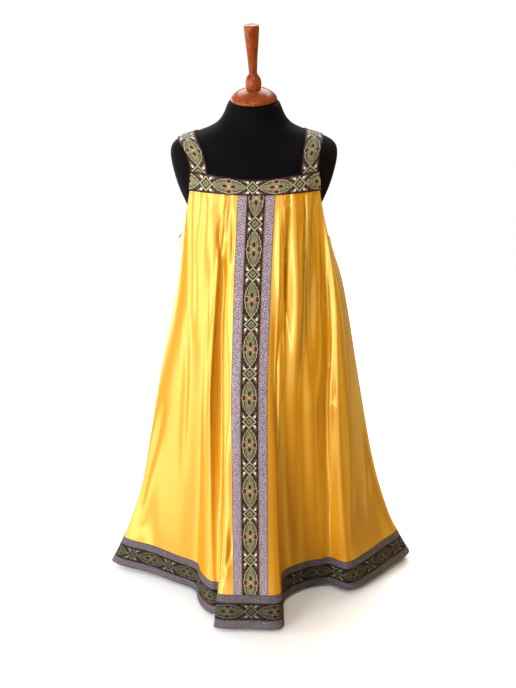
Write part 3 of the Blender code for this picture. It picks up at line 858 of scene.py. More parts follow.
def top_point(ring_station, relief):
    side = -1 if ring_station <= SEAM_STATION else 1
    station = ring_station if side < 0 else 2 * SEAM_STATION - ring_station
    x = BAND_CENTRE_X + math.copysign(BAND_HALF * min(abs(station), 1.0), station)
    point = chest_point(x, SKIRT_TOP - BOTTOM_SAG * hang(x), side, DRESS_EASE + relief)
    down = (abs(station) - 1.0) / (SEAM_STATION - 1.0)
    if down <= 0:
        return point
    turn = down * math.pi / 2
    underarm_x = math.copysign(UNDERARM_HALF, station)
    return Vector((point.x + (underarm_x - point.x) * down,
                   point.y * math.cos(turn),
                   point.z + (UNDERARM_HEIGHT - point.z) * math.sin(turn)))


print("underarm:", tuple(round(value, 3) for value in top_point(SEAM_STATION, 0.0)))

# %% [markdown]
# A fold moves outwards steadily and then kicks out near the hem, where the braid stiffens it.
# The folds' spacing along the curve uses the square root of their distance, which keeps a
# tight pleat from looping beside a wide panel.

# %% Curves round the dress
FLARE_EVEN = 0.62
BACK_EVEN = 0.80
FLARE_POWER = 3.5


def fall(part, even):
    return even * part + (1 - even) * part ** FLARE_POWER


def all_folds():
    """Top, upper, middle and hem values of each fold."""
    folds = [tuple(Vector(row[place:place + 2]) for place in (0, 2, 4, 6))
             for row in FRONT_FOLDS]
    for station, relief, hem_x, hem_y in BACK_FOLDS:
        ring_station = 2 * SEAM_STATION - station
        top = top_point(ring_station, relief)
        hem = Vector((hem_x, hem_y))
        drop = top.z - HEM_HEIGHT
        plans = [top.xy.lerp(hem, fall((top.z - height) / drop, BACK_EVEN))
                 for height in (UPPER_HEIGHT, MIDDLE_HEIGHT)]
        folds.append((Vector((ring_station, relief)), plans[0], plans[1], hem))
    return folds


def fold_knots(folds):
    knots = [0.0]
    for here, there in zip(folds, folds[1:] + folds[:1]):
        apart = (here[3] - there[3]).length + (here[2] - there[2]).length
        knots.append(knots[-1] + math.sqrt(apart))
    return knots


FOLDS = all_folds()
KNOTS = fold_knots(FOLDS)


def knot(index):
    turns, place = divmod(index, FOLD_COUNT)
    return turns * KNOTS[FOLD_COUNT] + KNOTS[place]


def across_folds(level, along, once_round=Vector((0.0, 0.0))):
    """A smooth value at a fold number and part of the next span."""
    place = math.floor(along)
    spots = [knot(place + step) for step in (-1, 0, 1, 2)]
    before, low, high, after = [
        FOLDS[(place + step) % FOLD_COUNT][level] + once_round * ((place + step) // FOLD_COUNT)
        for step in (-1, 0, 1, 2)]
    span = spots[2] - spots[1]
    slope_low = (high - before) / (spots[2] - spots[0])
    slope_high = (after - low) / (spots[3] - spots[1])
    return hermite(low, high, slope_low, slope_high, span, along - place)


print("round the hem's folds:", round(KNOTS[-1], 3))

# %% [markdown]
# A column of cloth hangs from its point of the top edge. It passes the two middle heights and
# ends on the hem, which rises a little towards the sides, as a wide hem does when it is held
# out from the body.

# %% Curves down the dress
def column_controls(along):
    """Top point, upper, middle and hem plan points at a place round the skirt."""
    station, relief = across_folds(0, along, Vector((4 * SEAM_STATION, 0.0)))
    if station > 3 * SEAM_STATION:
        station -= 4 * SEAM_STATION
    return [top_point(station, relief)] + [across_folds(level, along) for level in (1, 2, 3)]


def hem_height(point):
    return HEM_HEIGHT + HEM_RISE * (abs(point.x) / SKIRT_REACH) ** 2


def on_column(controls, height):
    """Plan point of one column at a height: cubic down to the middle, then the flare.

    The cubic ends at the top edge without bending, as cloth does below a seam.
    """
    top, upper, middle, hem = controls
    low = hem_height(hem)
    flare_slope = (hem - middle) * (-FLARE_EVEN / (MIDDLE_HEIGHT - low))
    if height <= MIDDLE_HEIGHT:
        part = (MIDDLE_HEIGHT - height) / (MIDDLE_HEIGHT - low)
        return middle.lerp(hem, fall(part, FLARE_EVEN))
    upper_slope = (top.xy - middle) / (top.z - MIDDLE_HEIGHT)
    if height <= UPPER_HEIGHT:
        span = UPPER_HEIGHT - MIDDLE_HEIGHT
        return hermite(middle, upper, flare_slope, upper_slope, span,
                       (height - MIDDLE_HEIGHT) / span)
    span = top.z - UPPER_HEIGHT
    top_slope = (top.xy - upper) * (1.5 / span) - upper_slope * 0.5
    return hermite(upper, top.xy, upper_slope, top_slope, span, (height - UPPER_HEIGHT) / span)


middle_front = on_column(column_controls(PLACKET_FOLD), MIDDLE_HEIGHT)
print("centre front at the middle height:", [round(value, 4) for value in middle_front])

# %% [markdown]
# Now the whole ring of cloth is worked out as one grid: columns round the dress and rows from
# the hem up. The lowest rows are spaced so that each hem trim starts and ends on a row, which
# lets a trim borrow the skirt's own points.

# %% The ring of cloth
EDGING_WIDTH = 0.0173
BRAID_WIDTH = 0.0330
COLUMN_PITCH = 0.0040
FEWEST_COLUMNS = 9
TRIM_ROWS = (5, 9, 5)
TRIM_STARTS = [sum(TRIM_ROWS[:count]) for count in range(len(TRIM_ROWS) + 1)]
SKIRT_ROWS = 98
HEM_WIDTHS = (EDGING_WIDTH, BRAID_WIDTH, EDGING_WIDTH)
TRIMS_TOP = sum(HEM_WIDTHS)


def trim_steps():
    """Length up the cloth of each row inside the hem trims."""
    steps, start = [], 0.0
    for width, rows in zip(HEM_WIDTHS, TRIM_ROWS):
        steps += [start + width * row / rows for row in range(rows)]
        start += width
    return steps + [start]


def column_points(along):
    controls = column_controls(along)
    low = hem_height(controls[3])
    lean = (on_column(controls, low + TRIMS_TOP) - controls[3]).length / TRIMS_TOP
    upright = 1 / math.hypot(1.0, lean)
    heights = [low + step * upright for step in trim_steps()]
    start, finish = heights[-1], controls[0].z
    heights += [start + (finish - start) * row / SKIRT_ROWS for row in range(1, SKIRT_ROWS + 1)]
    return [(*on_column(controls, height), height) for height in heights]


def ring_places():
    places = []
    for index in range(FOLD_COUNT):
        here, there = FOLDS[index], FOLDS[(index + 1) % FOLD_COUNT]
        count = max(FEWEST_COLUMNS, math.ceil((here[3] - there[3]).length / COLUMN_PITCH))
        places += [index + step / count for step in range(count)]
    return places


def unit(vectors):
    return vectors / np.maximum(np.linalg.norm(vectors, axis=-1, keepdims=True), 1e-12)


def ring_normals(ring):
    """Outward directions of a closed ring of columns."""
    ahead = unit(np.roll(ring, -1, axis=0) - ring)
    behind = unit(ring - np.roll(ring, 1, axis=0))
    up = np.gradient(ring, axis=1)
    return unit(np.cross(ahead + behind, up))


places = ring_places()
ring = np.array([column_points(place) for place in places])
seam = places.index(LEFT_SEAM)
centre_front = places.index(PLACKET_FOLD)
centre_back = places.index(CENTRE_BACK_FOLD)
print("grid of the skirt:", ring.shape[:2], "front columns:", seam + 1)

# %% [markdown]
# ## Creases
# Between the main folds the satin carries creases of its own: pull lines under the chest band,
# pleats that fade on their way down, dents where a fold turns. A sculpting brush would make
# them too, but only a table can be read and corrected. Each one is given in a tailor's
# measures: at which heights it runs, how far from the centre it is there, how wide and how
# deep. `peak` says where along it the crease is deepest, and `step` turns it into a pleat that
# drops on one side only.

# %% Crease table
# half width, depth, peak, step, and the path of (height, offset) from its top down
FRONT_CREASES = (
    # right side panel
    (0.0120, -0.0052, 0.40, 0, (
        (0.832, -0.104), (0.796, -0.109), (0.750, -0.118), (0.640, -0.126), (0.540, -0.138))),
    (0.0130, 0.0020, 0.50, 0, (
        (0.838, -0.084), (0.714, -0.090), (0.600, -0.102), (0.480, -0.122))),
    (0.0150, -0.0065, 0.70, 0, (
        (0.420, -0.246), (0.357, -0.266), (0.300, -0.286), (0.197, -0.322), (0.090, -0.352))),
    (0.0100, -0.0034, 0.50, 0, (
        (0.620, -0.150), (0.500, -0.168), (0.360, -0.186), (0.240, -0.196))),
    # the turned-over fold beside the strips
    (0.0052, -0.0040, 0.45, 0.5, (
        (0.820, -0.055), (0.802, -0.062), (0.787, -0.069), (0.756, -0.073), (0.724, -0.070),
        (0.692, -0.066), (0.638, -0.067), (0.600, -0.070))),
    (0.0090, 0.0036, 0.60, 0, ((0.835, -0.053), (0.766, -0.056), (0.700, -0.053))),
    (0.0036, -0.0028, 0.50, 0, (
        (0.824, -0.047), (0.802, -0.0430), (0.760, -0.0400), (0.715, -0.0395),
        (0.696, -0.047))),
    # long valley and the ridge between it and the strips
    (0.0120, -0.0058, 0.55, -0.9, (
        (0.700, -0.062), (0.640, -0.065), (0.545, -0.070), (0.451, -0.073), (0.366, -0.076),
        (0.318, -0.077), (0.280, -0.078), (0.200, -0.080))),
    (0.0085, 0.0048, 0.50, 0, (
        (0.700, -0.0530), (0.640, -0.0550), (0.545, -0.0580), (0.451, -0.0580),
        (0.378, -0.0520), (0.318, -0.0480), (0.240, -0.0450))),
    # bulge low on the right of the strips
    (0.0070, 0.0034, 0.60, 0, ((0.230, -0.045), (0.160, -0.048), (0.085, -0.048))),
    (0.0036, -0.0030, 0.40, 0, ((0.205, -0.037), (0.150, -0.040), (0.100, -0.060))),
    # cloth swelling over the first pleat on the left of the strips, and the pleat's line
    (0.0120, 0.0058, 0.35, -0.9, (
        (0.838, 0.0565), (0.755, 0.0560), (0.700, 0.0565), (0.660, 0.0600), (0.575, 0.0710),
        (0.500, 0.0740), (0.440, 0.0720))),
    (0.0030, -0.0048, 0.30, 0, (
        (0.840, 0.0620), (0.787, 0.0630), (0.732, 0.0630), (0.685, 0.0650), (0.639, 0.0690),
        (0.584, 0.0770), (0.540, 0.0820))),
    # tongue and second pleat
    (0.0190, 0.0046, 0.50, -0.9, (
        (0.840, 0.0900), (0.740, 0.1020), (0.640, 0.1080), (0.571, 0.1070), (0.520, 0.0980))),
    (0.0032, -0.0050, 0.50, 0, (
        (0.840, 0.0900), (0.827, 0.0920), (0.725, 0.1060), (0.624, 0.1140), (0.554, 0.1090),
        (0.490, 0.1040))),
    # shaded hollow behind the second pleat, and the soft fold beyond it
    (0.0105, -0.0078, 0.45, 0, (
        (0.800, 0.1120), (0.734, 0.1240), (0.656, 0.1300), (0.578, 0.1300), (0.500, 0.1330),
        (0.440, 0.1380))),
    (0.0042, -0.0036, 0.45, 0, (
        (0.828, 0.1140), (0.800, 0.1120), (0.760, 0.1180), (0.720, 0.1300))),
    (0.0100, 0.0026, 0.50, 0, (
        (0.720, 0.1440), (0.640, 0.1500), (0.578, 0.1550), (0.500, 0.1570), (0.420, 0.1590))),
    # side groove, and the round ridge beyond it
    (0.0060, -0.0048, 0.50, 0, (
        (0.770, 0.1400), (0.726, 0.1500), (0.641, 0.1720), (0.573, 0.1800), (0.498, 0.1780),
        (0.438, 0.1770), (0.370, 0.1800), (0.280, 0.1880))),
    (0.0105, 0.0050, 0.50, 0, (
        (0.700, 0.1660), (0.640, 0.1800), (0.573, 0.1890), (0.498, 0.1880), (0.438, 0.1880),
        (0.370, 0.1910), (0.280, 0.2010), (0.180, 0.2100))),
    (0.0200, 0.0040, 0.60, -0.9, (
        (0.730, 0.2060), (0.640, 0.2240), (0.576, 0.2400), (0.497, 0.2390), (0.436, 0.2460),
        (0.349, 0.2540), (0.263, 0.2620), (0.176, 0.2740), (0.085, 0.2940))),
    (0.0150, -0.0036, 0.70, 0, (
        (0.400, 0.3160), (0.312, 0.3260), (0.224, 0.3380), (0.151, 0.3400))),
    # edge of the flap below the first pleat
    (0.0044, -0.0044, 0.45, 0.4, (
        (0.640, 0.0430), (0.575, 0.0440), (0.457, 0.0480), (0.340, 0.0580), (0.223, 0.0750),
        (0.100, 0.0760))),
)
BACK_CREASES = (
    (0.0070, -0.0030, 0.15, 0.4, ((0.838, -0.100), (0.700, -0.106), (0.560, -0.118))),
    (0.0080, -0.0034, 0.20, 0, ((0.838, -0.062), (0.690, -0.070), (0.500, -0.082))),
    (0.0060, -0.0026, 0.15, -0.4, ((0.838, -0.024), (0.740, -0.026), (0.620, -0.034))),
    (0.0090, 0.0030, 0.45, 0, ((0.800, -0.044), (0.640, -0.050), (0.420, -0.058))),
    (0.0070, -0.0032, 0.18, 0.4, ((0.838, 0.020), (0.720, 0.022), (0.540, 0.030))),
    (0.0085, -0.0034, 0.22, 0, ((0.838, 0.058), (0.700, 0.066), (0.470, 0.085))),
    (0.0060, -0.0026, 0.15, -0.4, ((0.838, 0.096), (0.730, 0.102), (0.600, 0.112))),
    (0.0090, 0.0030, 0.50, 0, ((0.790, 0.040), (0.620, 0.046), (0.380, 0.060))),
    (0.0130, -0.0044, 0.65, 0, ((0.420, -0.230), (0.240, -0.270), (0.090, -0.300))),
    (0.0130, -0.0044, 0.65, 0, ((0.460, 0.210), (0.260, 0.250), (0.090, 0.290))),
    (0.0100, 0.0040, 0.60, 0, ((0.520, -0.140), (0.300, -0.165), (0.090, -0.190))),
    (0.0100, 0.0040, 0.60, 0, ((0.480, 0.130), (0.280, 0.150), (0.090, 0.170))),
)


print("creases:", len(FRONT_CREASES), "front,", len(BACK_CREASES), "back")

# %% [markdown]
# A crease is a soft bump across the cloth, a bell curve whose height swells and fades along
# its path. One that starts under the chest band stays at full depth there, where it is pulled.
# The path is blurred a little, so that it has no corners between its points.

# %% Creases as moves of the cloth
PATH_STEPS = 80
PATH_BLUR = 17
STEP_SHARPNESS = 2.0


def smooth_path(heights, path):
    """Offset of a crease at each height, on a curve with no corners."""
    steps = np.linspace(path[0, 0], path[-1, 0], PATH_STEPS)
    line = np.interp(steps, path[:, 0], path[:, 1])
    padded = np.pad(line, PATH_BLUR // 2, mode="reflect", reflect_type="odd")
    weights = np.hanning(PATH_BLUR)
    line = np.convolve(padded, weights / weights.sum(), mode="valid")
    return np.interp(heights, steps, line)


def crease_field(offsets, heights, table):
    """How far each point of the cloth moves out along its normal."""
    total = np.zeros_like(offsets)
    for half, depth, peak, step, path in table:
        path = np.array(path)[::-1]
        top, bottom = path[-1, 0], path[0, 0]
        middle = smooth_path(heights, path)
        part = np.clip((top - heights) / (top - bottom), 0.0, 1.0)
        strength = np.where(part < peak, part / peak, (1 - part) / (1 - peak))
        strength = np.sin(np.clip(strength, 0.0, 1.0) * math.pi / 2)
        if top > CHEST_LINE:
            strength = np.where(part < peak, 1.0, strength)
        away = (offsets - middle) / half
        shape = np.exp(-away ** 2)
        if step:
            shape = shape * (1 + step * np.tanh(away * STEP_SHARPNESS))
        total += depth * strength * shape
    return total


middle_moves = crease_field(np.zeros(3), np.array((0.7, 0.5, 0.3)), FRONT_CREASES)
print("creases on the middle line are at most", round(float(np.abs(middle_moves).max()), 5), "m")

# %% [markdown]
# A slow, shallow waviness, long down the cloth and short across it, stands for all that is
# too small to place by hand. It dies away under the chest band, where the cloth is held, and
# under the trims, which are stiff.

# %% Waviness of the satin
# width, height, depth of each wave, and a factor that gives each its own slice of the noise
WAVE_SIZES = ((0.070, 0.300, 0.0010), (0.026, 0.160, 0.00014))
NOISE_SLICES = 999
# share of a move that is left where the cloth is held, and how soon it is free again
BY_TRIMS, TRIM_FADE = 0.25, 0.05
BY_BAND_OUTWARD, BY_BAND_INWARD, BAND_FADE = 0.22, 0.60, 0.035
BY_STRIPS, STRIP_FADE = 0.05, 0.005
SEAM_FADE = 0.02


def waviness(offsets, heights, seed):
    total = np.zeros_like(offsets)
    for place in np.ndindex(offsets.shape):
        for wide, tall, deep in WAVE_SIZES:
            spot = Vector((offsets[place] / wide, heights[place] / tall,
                           seed + deep * NOISE_SLICES))
            total[place] += deep * noise.noise(spot)
    return total


def ease_in(values, start, end):
    part = np.clip((values - start) / (end - start), 0.0, 1.0)
    return part * part * (3 - 2 * part)


def freed(lengths, start, fade, held):
    """Share of a move that is left: held up to start, and all of it once past the fade."""
    return held + (1 - held) * ease_in(lengths, start, start + fade)


def creased(columns, offsets, table, seed):
    """Moves of the cloth along its normals, small where the cloth is held."""
    heights = columns[..., 2]
    below_top = columns[:, -1:, 2] - heights
    up = lengths_along(columns, 1)
    moves = crease_field(offsets, heights, table) + waviness(offsets, heights, seed)
    moves = moves * freed(up, TRIMS_TOP, TRIM_FADE, BY_TRIMS)
    return moves * np.where(moves > 0, freed(below_top, 0.0, BAND_FADE, BY_BAND_OUTWARD),
                            freed(below_top, 0.0, BAND_FADE, BY_BAND_INWARD))


for wide, tall, deep in WAVE_SIZES:
    print("waves", wide, "wide and", tall, "high, at most", deep, "deep")

# %% [markdown]
# Offsets are measured along each row of the cloth, from the middle of the centre-front strips
# and from the centre of the back. The cloth lies flat under the strips. Where the two panels
# meet at a side seam, both have to move alike, so creases also fade there.

# %% Apply the creases
# first, last and centre column of each panel
PANELS = {"front": (0, seam, centre_front), "back": (seam, len(ring), centre_back)}
# creases, half width that lies flat under the strips, slice of the noise
PANEL_CREASES = {"front": (FRONT_CREASES, BRAID_WIDTH / 2 + EDGING_WIDTH, 0.0),
                 "back": (BACK_CREASES, 0.0, 50.0)}


def panel_of(grid, first, last):
    """Columns of a closed ring from first to last, both included."""
    closed = np.concatenate([grid, grid[:1]])
    return closed[first:last + 1]


def ring_moves():
    """How far each point of the ring moves along its normal."""
    moves = np.zeros(ring.shape[:2])
    for side, (first, last, centre) in PANELS.items():
        table, flat_half, seed = PANEL_CREASES[side]
        columns = panel_of(ring, first, last)
        along = lengths_along(columns, 0)
        offsets = along - along[centre - first]
        to_seam = np.minimum(along, along[-1] - along)
        amount = ease_in(to_seam, 0.0, SEAM_FADE)
        if flat_half:
            amount = amount * freed(np.abs(offsets), flat_half, STRIP_FADE, BY_STRIPS)
        part_moves = creased(columns, offsets, table, seed) * amount
        moves[first:last] = part_moves[:last - first]
    return moves


moves = ring_moves()
skirt = ring + ring_normals(ring) * moves[..., None]
skirt_normals = ring_normals(skirt)
print("creases move the cloth by", round(moves.min() * 1000, 2), "to",
      round(moves.max() * 1000, 2), "mm")

# %% [markdown]
# ## Skirt panels
# The ring is cut at the side seams into a front and a back, as a maker would cut them: each
# panel is one sheet of cloth. A seam leaves a hair's breadth between the panels, as the solids
# have it.

# %% Front and back panels
SATIN_WALL = 0.0007
SEAM_GAP = 0.0003


def drawn_in(columns):
    """Both end columns moved in along the cloth by half a seam gap."""
    trimmed = columns.copy()
    for end, inner in ((0, 1), (-1, -2)):
        trimmed[end] += unit(columns[inner] - columns[end]) * SEAM_GAP / 2
    return trimmed


def pattern_of(columns, centre):
    """Flat coordinates: length along each row from the centre column, and length up."""
    along = lengths_along(columns, 0)
    up = lengths_along(columns, 1)
    return np.stack([along - along[centre], up], axis=2)


satin_pieces = {}
flat_sizes = {}
for side, (first, last, centre) in PANELS.items():
    columns = drawn_in(panel_of(skirt, first, last))
    pattern = pattern_of(columns, centre - first)
    piece = cloth(side + "_satin", columns, pattern, SATIN_WALL, satin_cloth)
    place_on_frame(piece, "satin", "skirt_" + side)
    satin_pieces[side] = piece
    widths = pattern[-1, :, 0] - pattern[0, :, 0]
    area = 0.5 * float(np.sum((widths[1:] + widths[:-1]) * np.diff(pattern.mean(axis=0)[:, 1])))
    flat_sizes[side] = (float(widths.max()), float(pattern[..., 1].max()), area)
    print(side, "panel: hem", round(widths[0], 3), "m, top", round(widths[-1], 3),
          "m, length", round(flat_sizes[side][1], 3), "m, area", round(area, 3), "m2")

# %% [markdown]
# ## Hem trims
# Two lilac edgings with the wide braid between them run round the hem, sewn flat on the satin.
# A strip laid on with a Shrinkwrap modifier would cut corners in the tight folds, so each is
# the skirt's own strip of points, moved out. Its pattern is measured along the cloth, from the
# middle of the panel.

# %% Hem trims
TRIM_WALL = 0.0008
TRIM_LIFT = 0.0003
# name, width, finish, slot, from the hem up
HEM_TRIMS = (
    ("edging_lower", EDGING_WIDTH, lilac_edging_hem, "edging"),
    ("braid", BRAID_WIDTH, hem_braid, "braid"),
    ("edging_upper", EDGING_WIDTH, lilac_edging_hem, "edging"),
)
trims = {"front": [], "back": []}
for side, (first, last, centre) in PANELS.items():
    panel = panel_of(skirt, first, last)
    outward = panel_of(skirt_normals, first, last)
    for order, (name, width, finish, slot) in enumerate(HEM_TRIMS):
        rows = slice(TRIM_STARTS[order], TRIM_STARTS[order + 1] + 1)
        strip = panel[:, rows].copy()
        if order > 0:
            strip[:, 0] += unit(strip[:, 1] - strip[:, 0]) * SEAM_GAP / 2
        strip[:, -1] += unit(strip[:, -2] - strip[:, -1]) * SEAM_GAP / 2
        strip = drawn_in(strip + outward[:, rows] * (TRIM_LIFT + TRIM_WALL))
        middle = lengths_along(strip, 0)[:, strip.shape[1] // 2]
        across = lengths_along(strip, 1) - width / 2
        flat = np.stack([np.repeat((middle - middle[centre - first])[:, None],
                                   strip.shape[1], axis=1), across], axis=2)
        piece = cloth(f"{side}_hem_{name}", strip, flat, TRIM_WALL, finish)
        place_on_frame(piece, slot, f"hem_{name}_{side}")
        trims[side].append(piece)
        print(piece.name, "length:", round(float(middle[-1]), 3), "m")

# %% [markdown]
# ## Centre-front strips
# A sarafan's centre front is marked by a braid with an edging on each side, from the chest
# band to the hem trims. The skirt's own columns fan out towards the hem, but a woven strip
# keeps its width, so its points are looked up on the skirt at a fixed distance from the middle
# line.

# %% Placket strips
STRIP_LIFT = 0.0004
FIRST_DIAMOND = 0.0545
BAND_BOTTOM = 0.8395
STRIP_TUCK = 0.0030


def front_at(row, xs):
    """Points of the skirt's front in one row at given x."""
    near = slice(places.index(PLACKET_FOLD - 1), places.index(PLACKET_FOLD + 1) + 1)
    line = skirt[near, row]
    return np.stack([xs, np.interp(xs, line[:, 0], line[:, 1]),
                     np.interp(xs, line[:, 0], line[:, 2])], axis=1)


def strip_on_front(start, end, count):
    """Columns of a straight strip that lies on the front."""
    first_row = TRIM_STARTS[-1]
    rows = []
    for row in range(first_row, skirt.shape[1]):
        xs = skirt[centre_front, row, 0] + np.linspace(start, end, count)
        rows.append(front_at(row, xs))
    columns = np.stack(rows, axis=1)
    columns[:, 0, 2] += SEAM_GAP
    tucked_under = BAND_BOTTOM + STRIP_TUCK - BOTTOM_SAG
    columns[..., 2] = np.minimum(columns[..., 2], tucked_under)
    return columns


def sheet_normals(columns):
    return unit(np.cross(np.gradient(columns, axis=0), np.gradient(columns, axis=1)))


half = BRAID_WIDTH / 2
# name, start, end, columns, finish, slot
STRIPS = (
    ("placket_braid", -half, half, 13, main_braid, "braid"),
    ("placket_edging_right", -half - EDGING_WIDTH, -half - SEAM_GAP, 9, lilac_edging, "edging"),
    ("placket_edging_left", half + SEAM_GAP, half + EDGING_WIDTH, 9, lilac_edging, "edging"),
)
for name, start, end, count, finish, slot in STRIPS:
    columns = strip_on_front(start, end, count)
    columns = columns + sheet_normals(columns) * (STRIP_LIFT + TRIM_WALL)
    up = lengths_along(columns, 1)
    across = np.linspace(-(end - start) / 2, (end - start) / 2, count)
    flat = np.stack([up[-1:, -1:] - up - FIRST_DIAMOND,
                     -np.repeat(across[:, None], up.shape[1], axis=1)], axis=2)
    piece = cloth(name + "_strip", columns, flat, TRIM_WALL, finish)
    place_on_frame(piece, slot, name)
    trims["front"].append(piece)
    print(piece.name, "length:", round(float(up.max()), 3), "m")

# %% [markdown]
# ## Chest and back bands
# A band is the same braid laid flat round the chest. Its lower edge lies over the top of the
# satin, and its upper edge comes in to the form, so its ease changes with height. A strip bent
# by a Curve modifier would need fitting afterwards. Points set out from the form's own
# sections fit at once.

# %% Bands
BAND_TOP = 0.8738
TOP_SAG = 0.0107
BAND_EASE = 0.0053
NECK_EDGE_EASE = 0.0010
BAND_COLUMNS = 150
CHEST_DIAMOND = -0.0050
BAND_ROWS = 14


def band_top(x):
    return BAND_TOP - TOP_SAG * hang(x)


def band_ease(x, height):
    start = SKIRT_TOP - BOTTOM_SAG * hang(x)
    part = min(max((height - start) / (band_top(x) - start), 0.0), 1.0)
    return BAND_EASE + (NECK_EDGE_EASE - BAND_EASE) * part * part * (3 - 2 * part)


def band_column(x, side):
    heights = np.linspace(BAND_BOTTOM - BOTTOM_SAG * hang(x), band_top(x), BAND_ROWS)
    return [chest_point(x, height, side, band_ease(x, height) + TRIM_WALL) for height in heights]


def band(name, node, side):
    reach = np.linspace(-1.0, 1.0, BAND_COLUMNS) * -side
    columns = np.array([band_column(BAND_CENTRE_X + BAND_HALF * part, side) for part in reach])
    along = lengths_along(columns, 0)
    up = np.tile(np.linspace(-BRAID_WIDTH / 2, BRAID_WIDTH / 2, BAND_ROWS), (BAND_COLUMNS, 1))
    flat = np.stack([along - along[BAND_COLUMNS // 2] - CHEST_DIAMOND, up], axis=2)
    piece = cloth(name, columns, flat, TRIM_WALL, chest_band_braid)
    place_on_frame(piece, "braid", node)
    print(name, "length:", round(float(along.max()), 3), "m")
    return piece


chest_braid = band("chest_braid", "chest_band", -1)
back_braid = band("back_braid", "back_band", 1)

# %% [markdown]
# ## Straps
# Each strap starts above the chest band, follows the shoulder and ends at the back band. A
# half circle is walked from front to back, and at each step the form's surface is found by
# halving: a point is tried, and the next try lies inside or outside of it.

# %% Straps
STRAP_WIDTH = 0.0320
STRAP_WALL = 0.0010
SHOULDER_EASE = 0.0006
SHOULDER_REACH = 0.2
STRAP_COLUMNS = 13
STRAP_ROWS = 110
HALVINGS = 22
SWAY = 1.5
# centre x on the chest, the shoulder and the back
STRAP_ROUTES = {
    "strap_left": (0.1020, 0.1130, 0.096),
    "strap_right": (-0.1005, -0.1270, -0.095),
}


def shoulder_point(x, foot, turn, ease):
    """Over the shoulder at x: turn is 0 at the chest, half a circle at the back."""
    middle_y = section_at(foot)[2]
    near, far = 0.0, SHOULDER_REACH
    for _ in range(HALVINGS):
        reach = (near + far) / 2
        y, height = middle_y - math.cos(turn) * reach, foot + math.sin(turn) * reach
        half_width, half_depth, centre, squareness = section_at(height)
        level = abs(x / half_width) ** squareness + abs((y - centre) / half_depth) ** squareness
        near, far = (reach, far) if level < 1 else (near, reach)
    return (x, middle_y - math.cos(turn) * (near + ease), foot + math.sin(turn) * (near + ease))


def strap(name, route):
    chest_x, shoulder_x, back_x = route
    columns = []
    for side in range(STRAP_COLUMNS):
        offset = STRAP_WIDTH * (side / (STRAP_COLUMNS - 1) - 0.5)
        foot = max(band_top(chest_x + offset), band_top(back_x + offset)) + SEAM_GAP
        column = []
        for row in range(STRAP_ROWS):
            turn = math.pi * row / (STRAP_ROWS - 1)
            lift = max(math.sin(turn), 0.0)
            end_x = chest_x if row * 2 < STRAP_ROWS else back_x
            x = end_x + (shoulder_x - end_x) * lift ** SWAY + offset
            ease = NECK_EDGE_EASE + (SHOULDER_EASE - NECK_EDGE_EASE) * lift
            column.append(shoulder_point(x, foot, turn, ease + STRAP_WALL))
        columns.append(column)
    columns = np.array(columns)
    up = lengths_along(columns, 1)
    across = np.linspace(-STRAP_WIDTH / 2, STRAP_WIDTH / 2, STRAP_COLUMNS)
    flat = np.stack([up - up.mean(axis=0, keepdims=True)[:, :1],
                     -np.repeat(across[:, None], STRAP_ROWS, axis=1)], axis=2)
    piece = cloth(name + "_braid", columns, flat, STRAP_WALL, main_braid)
    place_on_frame(piece, "braid", name)
    print(piece.name, "length:", round(float(up.max()), 3), "m")
    return piece


straps = [strap(name, route) for name, route in STRAP_ROUTES.items()]

# %% [markdown]
# ## The dress form
# The form's solid already has the right shape, only with coarse faces. A copy is merged at its
# corners, turned back into quads and subdivided, which rounds it as padding under jersey does.

# %% Torso
SAME_POINT = 0.00002
QUAD_ANGLE = 1.2


def finer_copy(node, name, finish, levels):
    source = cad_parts[node]
    copy = bpy.data.objects.new(name, source.data.copy())
    copy.data.name = name
    bpy.context.scene.collection.objects.link(copy)
    only(copy)
    bpy.ops.object.mode_set(mode="EDIT")
    bpy.ops.mesh.select_all(action="SELECT")
    bpy.ops.mesh.remove_doubles(threshold=SAME_POINT)
    bpy.ops.mesh.tris_convert_to_quads(face_threshold=QUAD_ANGLE, shape_threshold=QUAD_ANGLE)
    bpy.ops.object.mode_set(mode="OBJECT")
    copy.data.materials.clear()
    copy.data.materials.append(finish)
    with_modifier(copy, "SUBSURF", levels=levels, render_levels=levels)
    only(copy)
    bpy.ops.object.shade_smooth()
    return copy


torso = finer_copy("form_torso", "torso_cover", jersey_cover, levels=2)
place_on_frame(torso, "form_cover", "form_torso")
print("torso faces:", len(torso.data.polygons))

# %% [markdown]
# ## Turned cap and finial, pole and base
# A lathe turns a profile round one axis. Spin or the Screw modifier would do the same, but
# they leave the ends open. Here a disc is the first cut: its face is extruded up and scaled at
# every step of the profile, so both ends stay closed. The cap and the finial share the neck's
# tilt.

# %% Turned pieces
TURNED_SIDES = 96
TURNED_SHARP_FROM = math.radians(35)


def refined(profile, steps):
    """More points along a profile, on a smooth curve through the given ones."""
    finer = []
    for place in range(len(profile) - 1):
        before = Vector(profile[max(place - 1, 0)])
        here, there = Vector(profile[place]), Vector(profile[place + 1])
        after = Vector(profile[min(place + 2, len(profile) - 1)])
        spans = [max((b - a).length, 1e-6) for a, b in ((before, here), (here, there),
                                                        (there, after))]
        slope_in = (there - before) / (spans[0] + spans[1])
        slope_out = (after - here) / (spans[1] + spans[2])
        finer += [hermite(here, there, slope_in, slope_out, spans[1], step / steps)
                  for step in range(steps)]
    return finer + [Vector(profile[-1])]


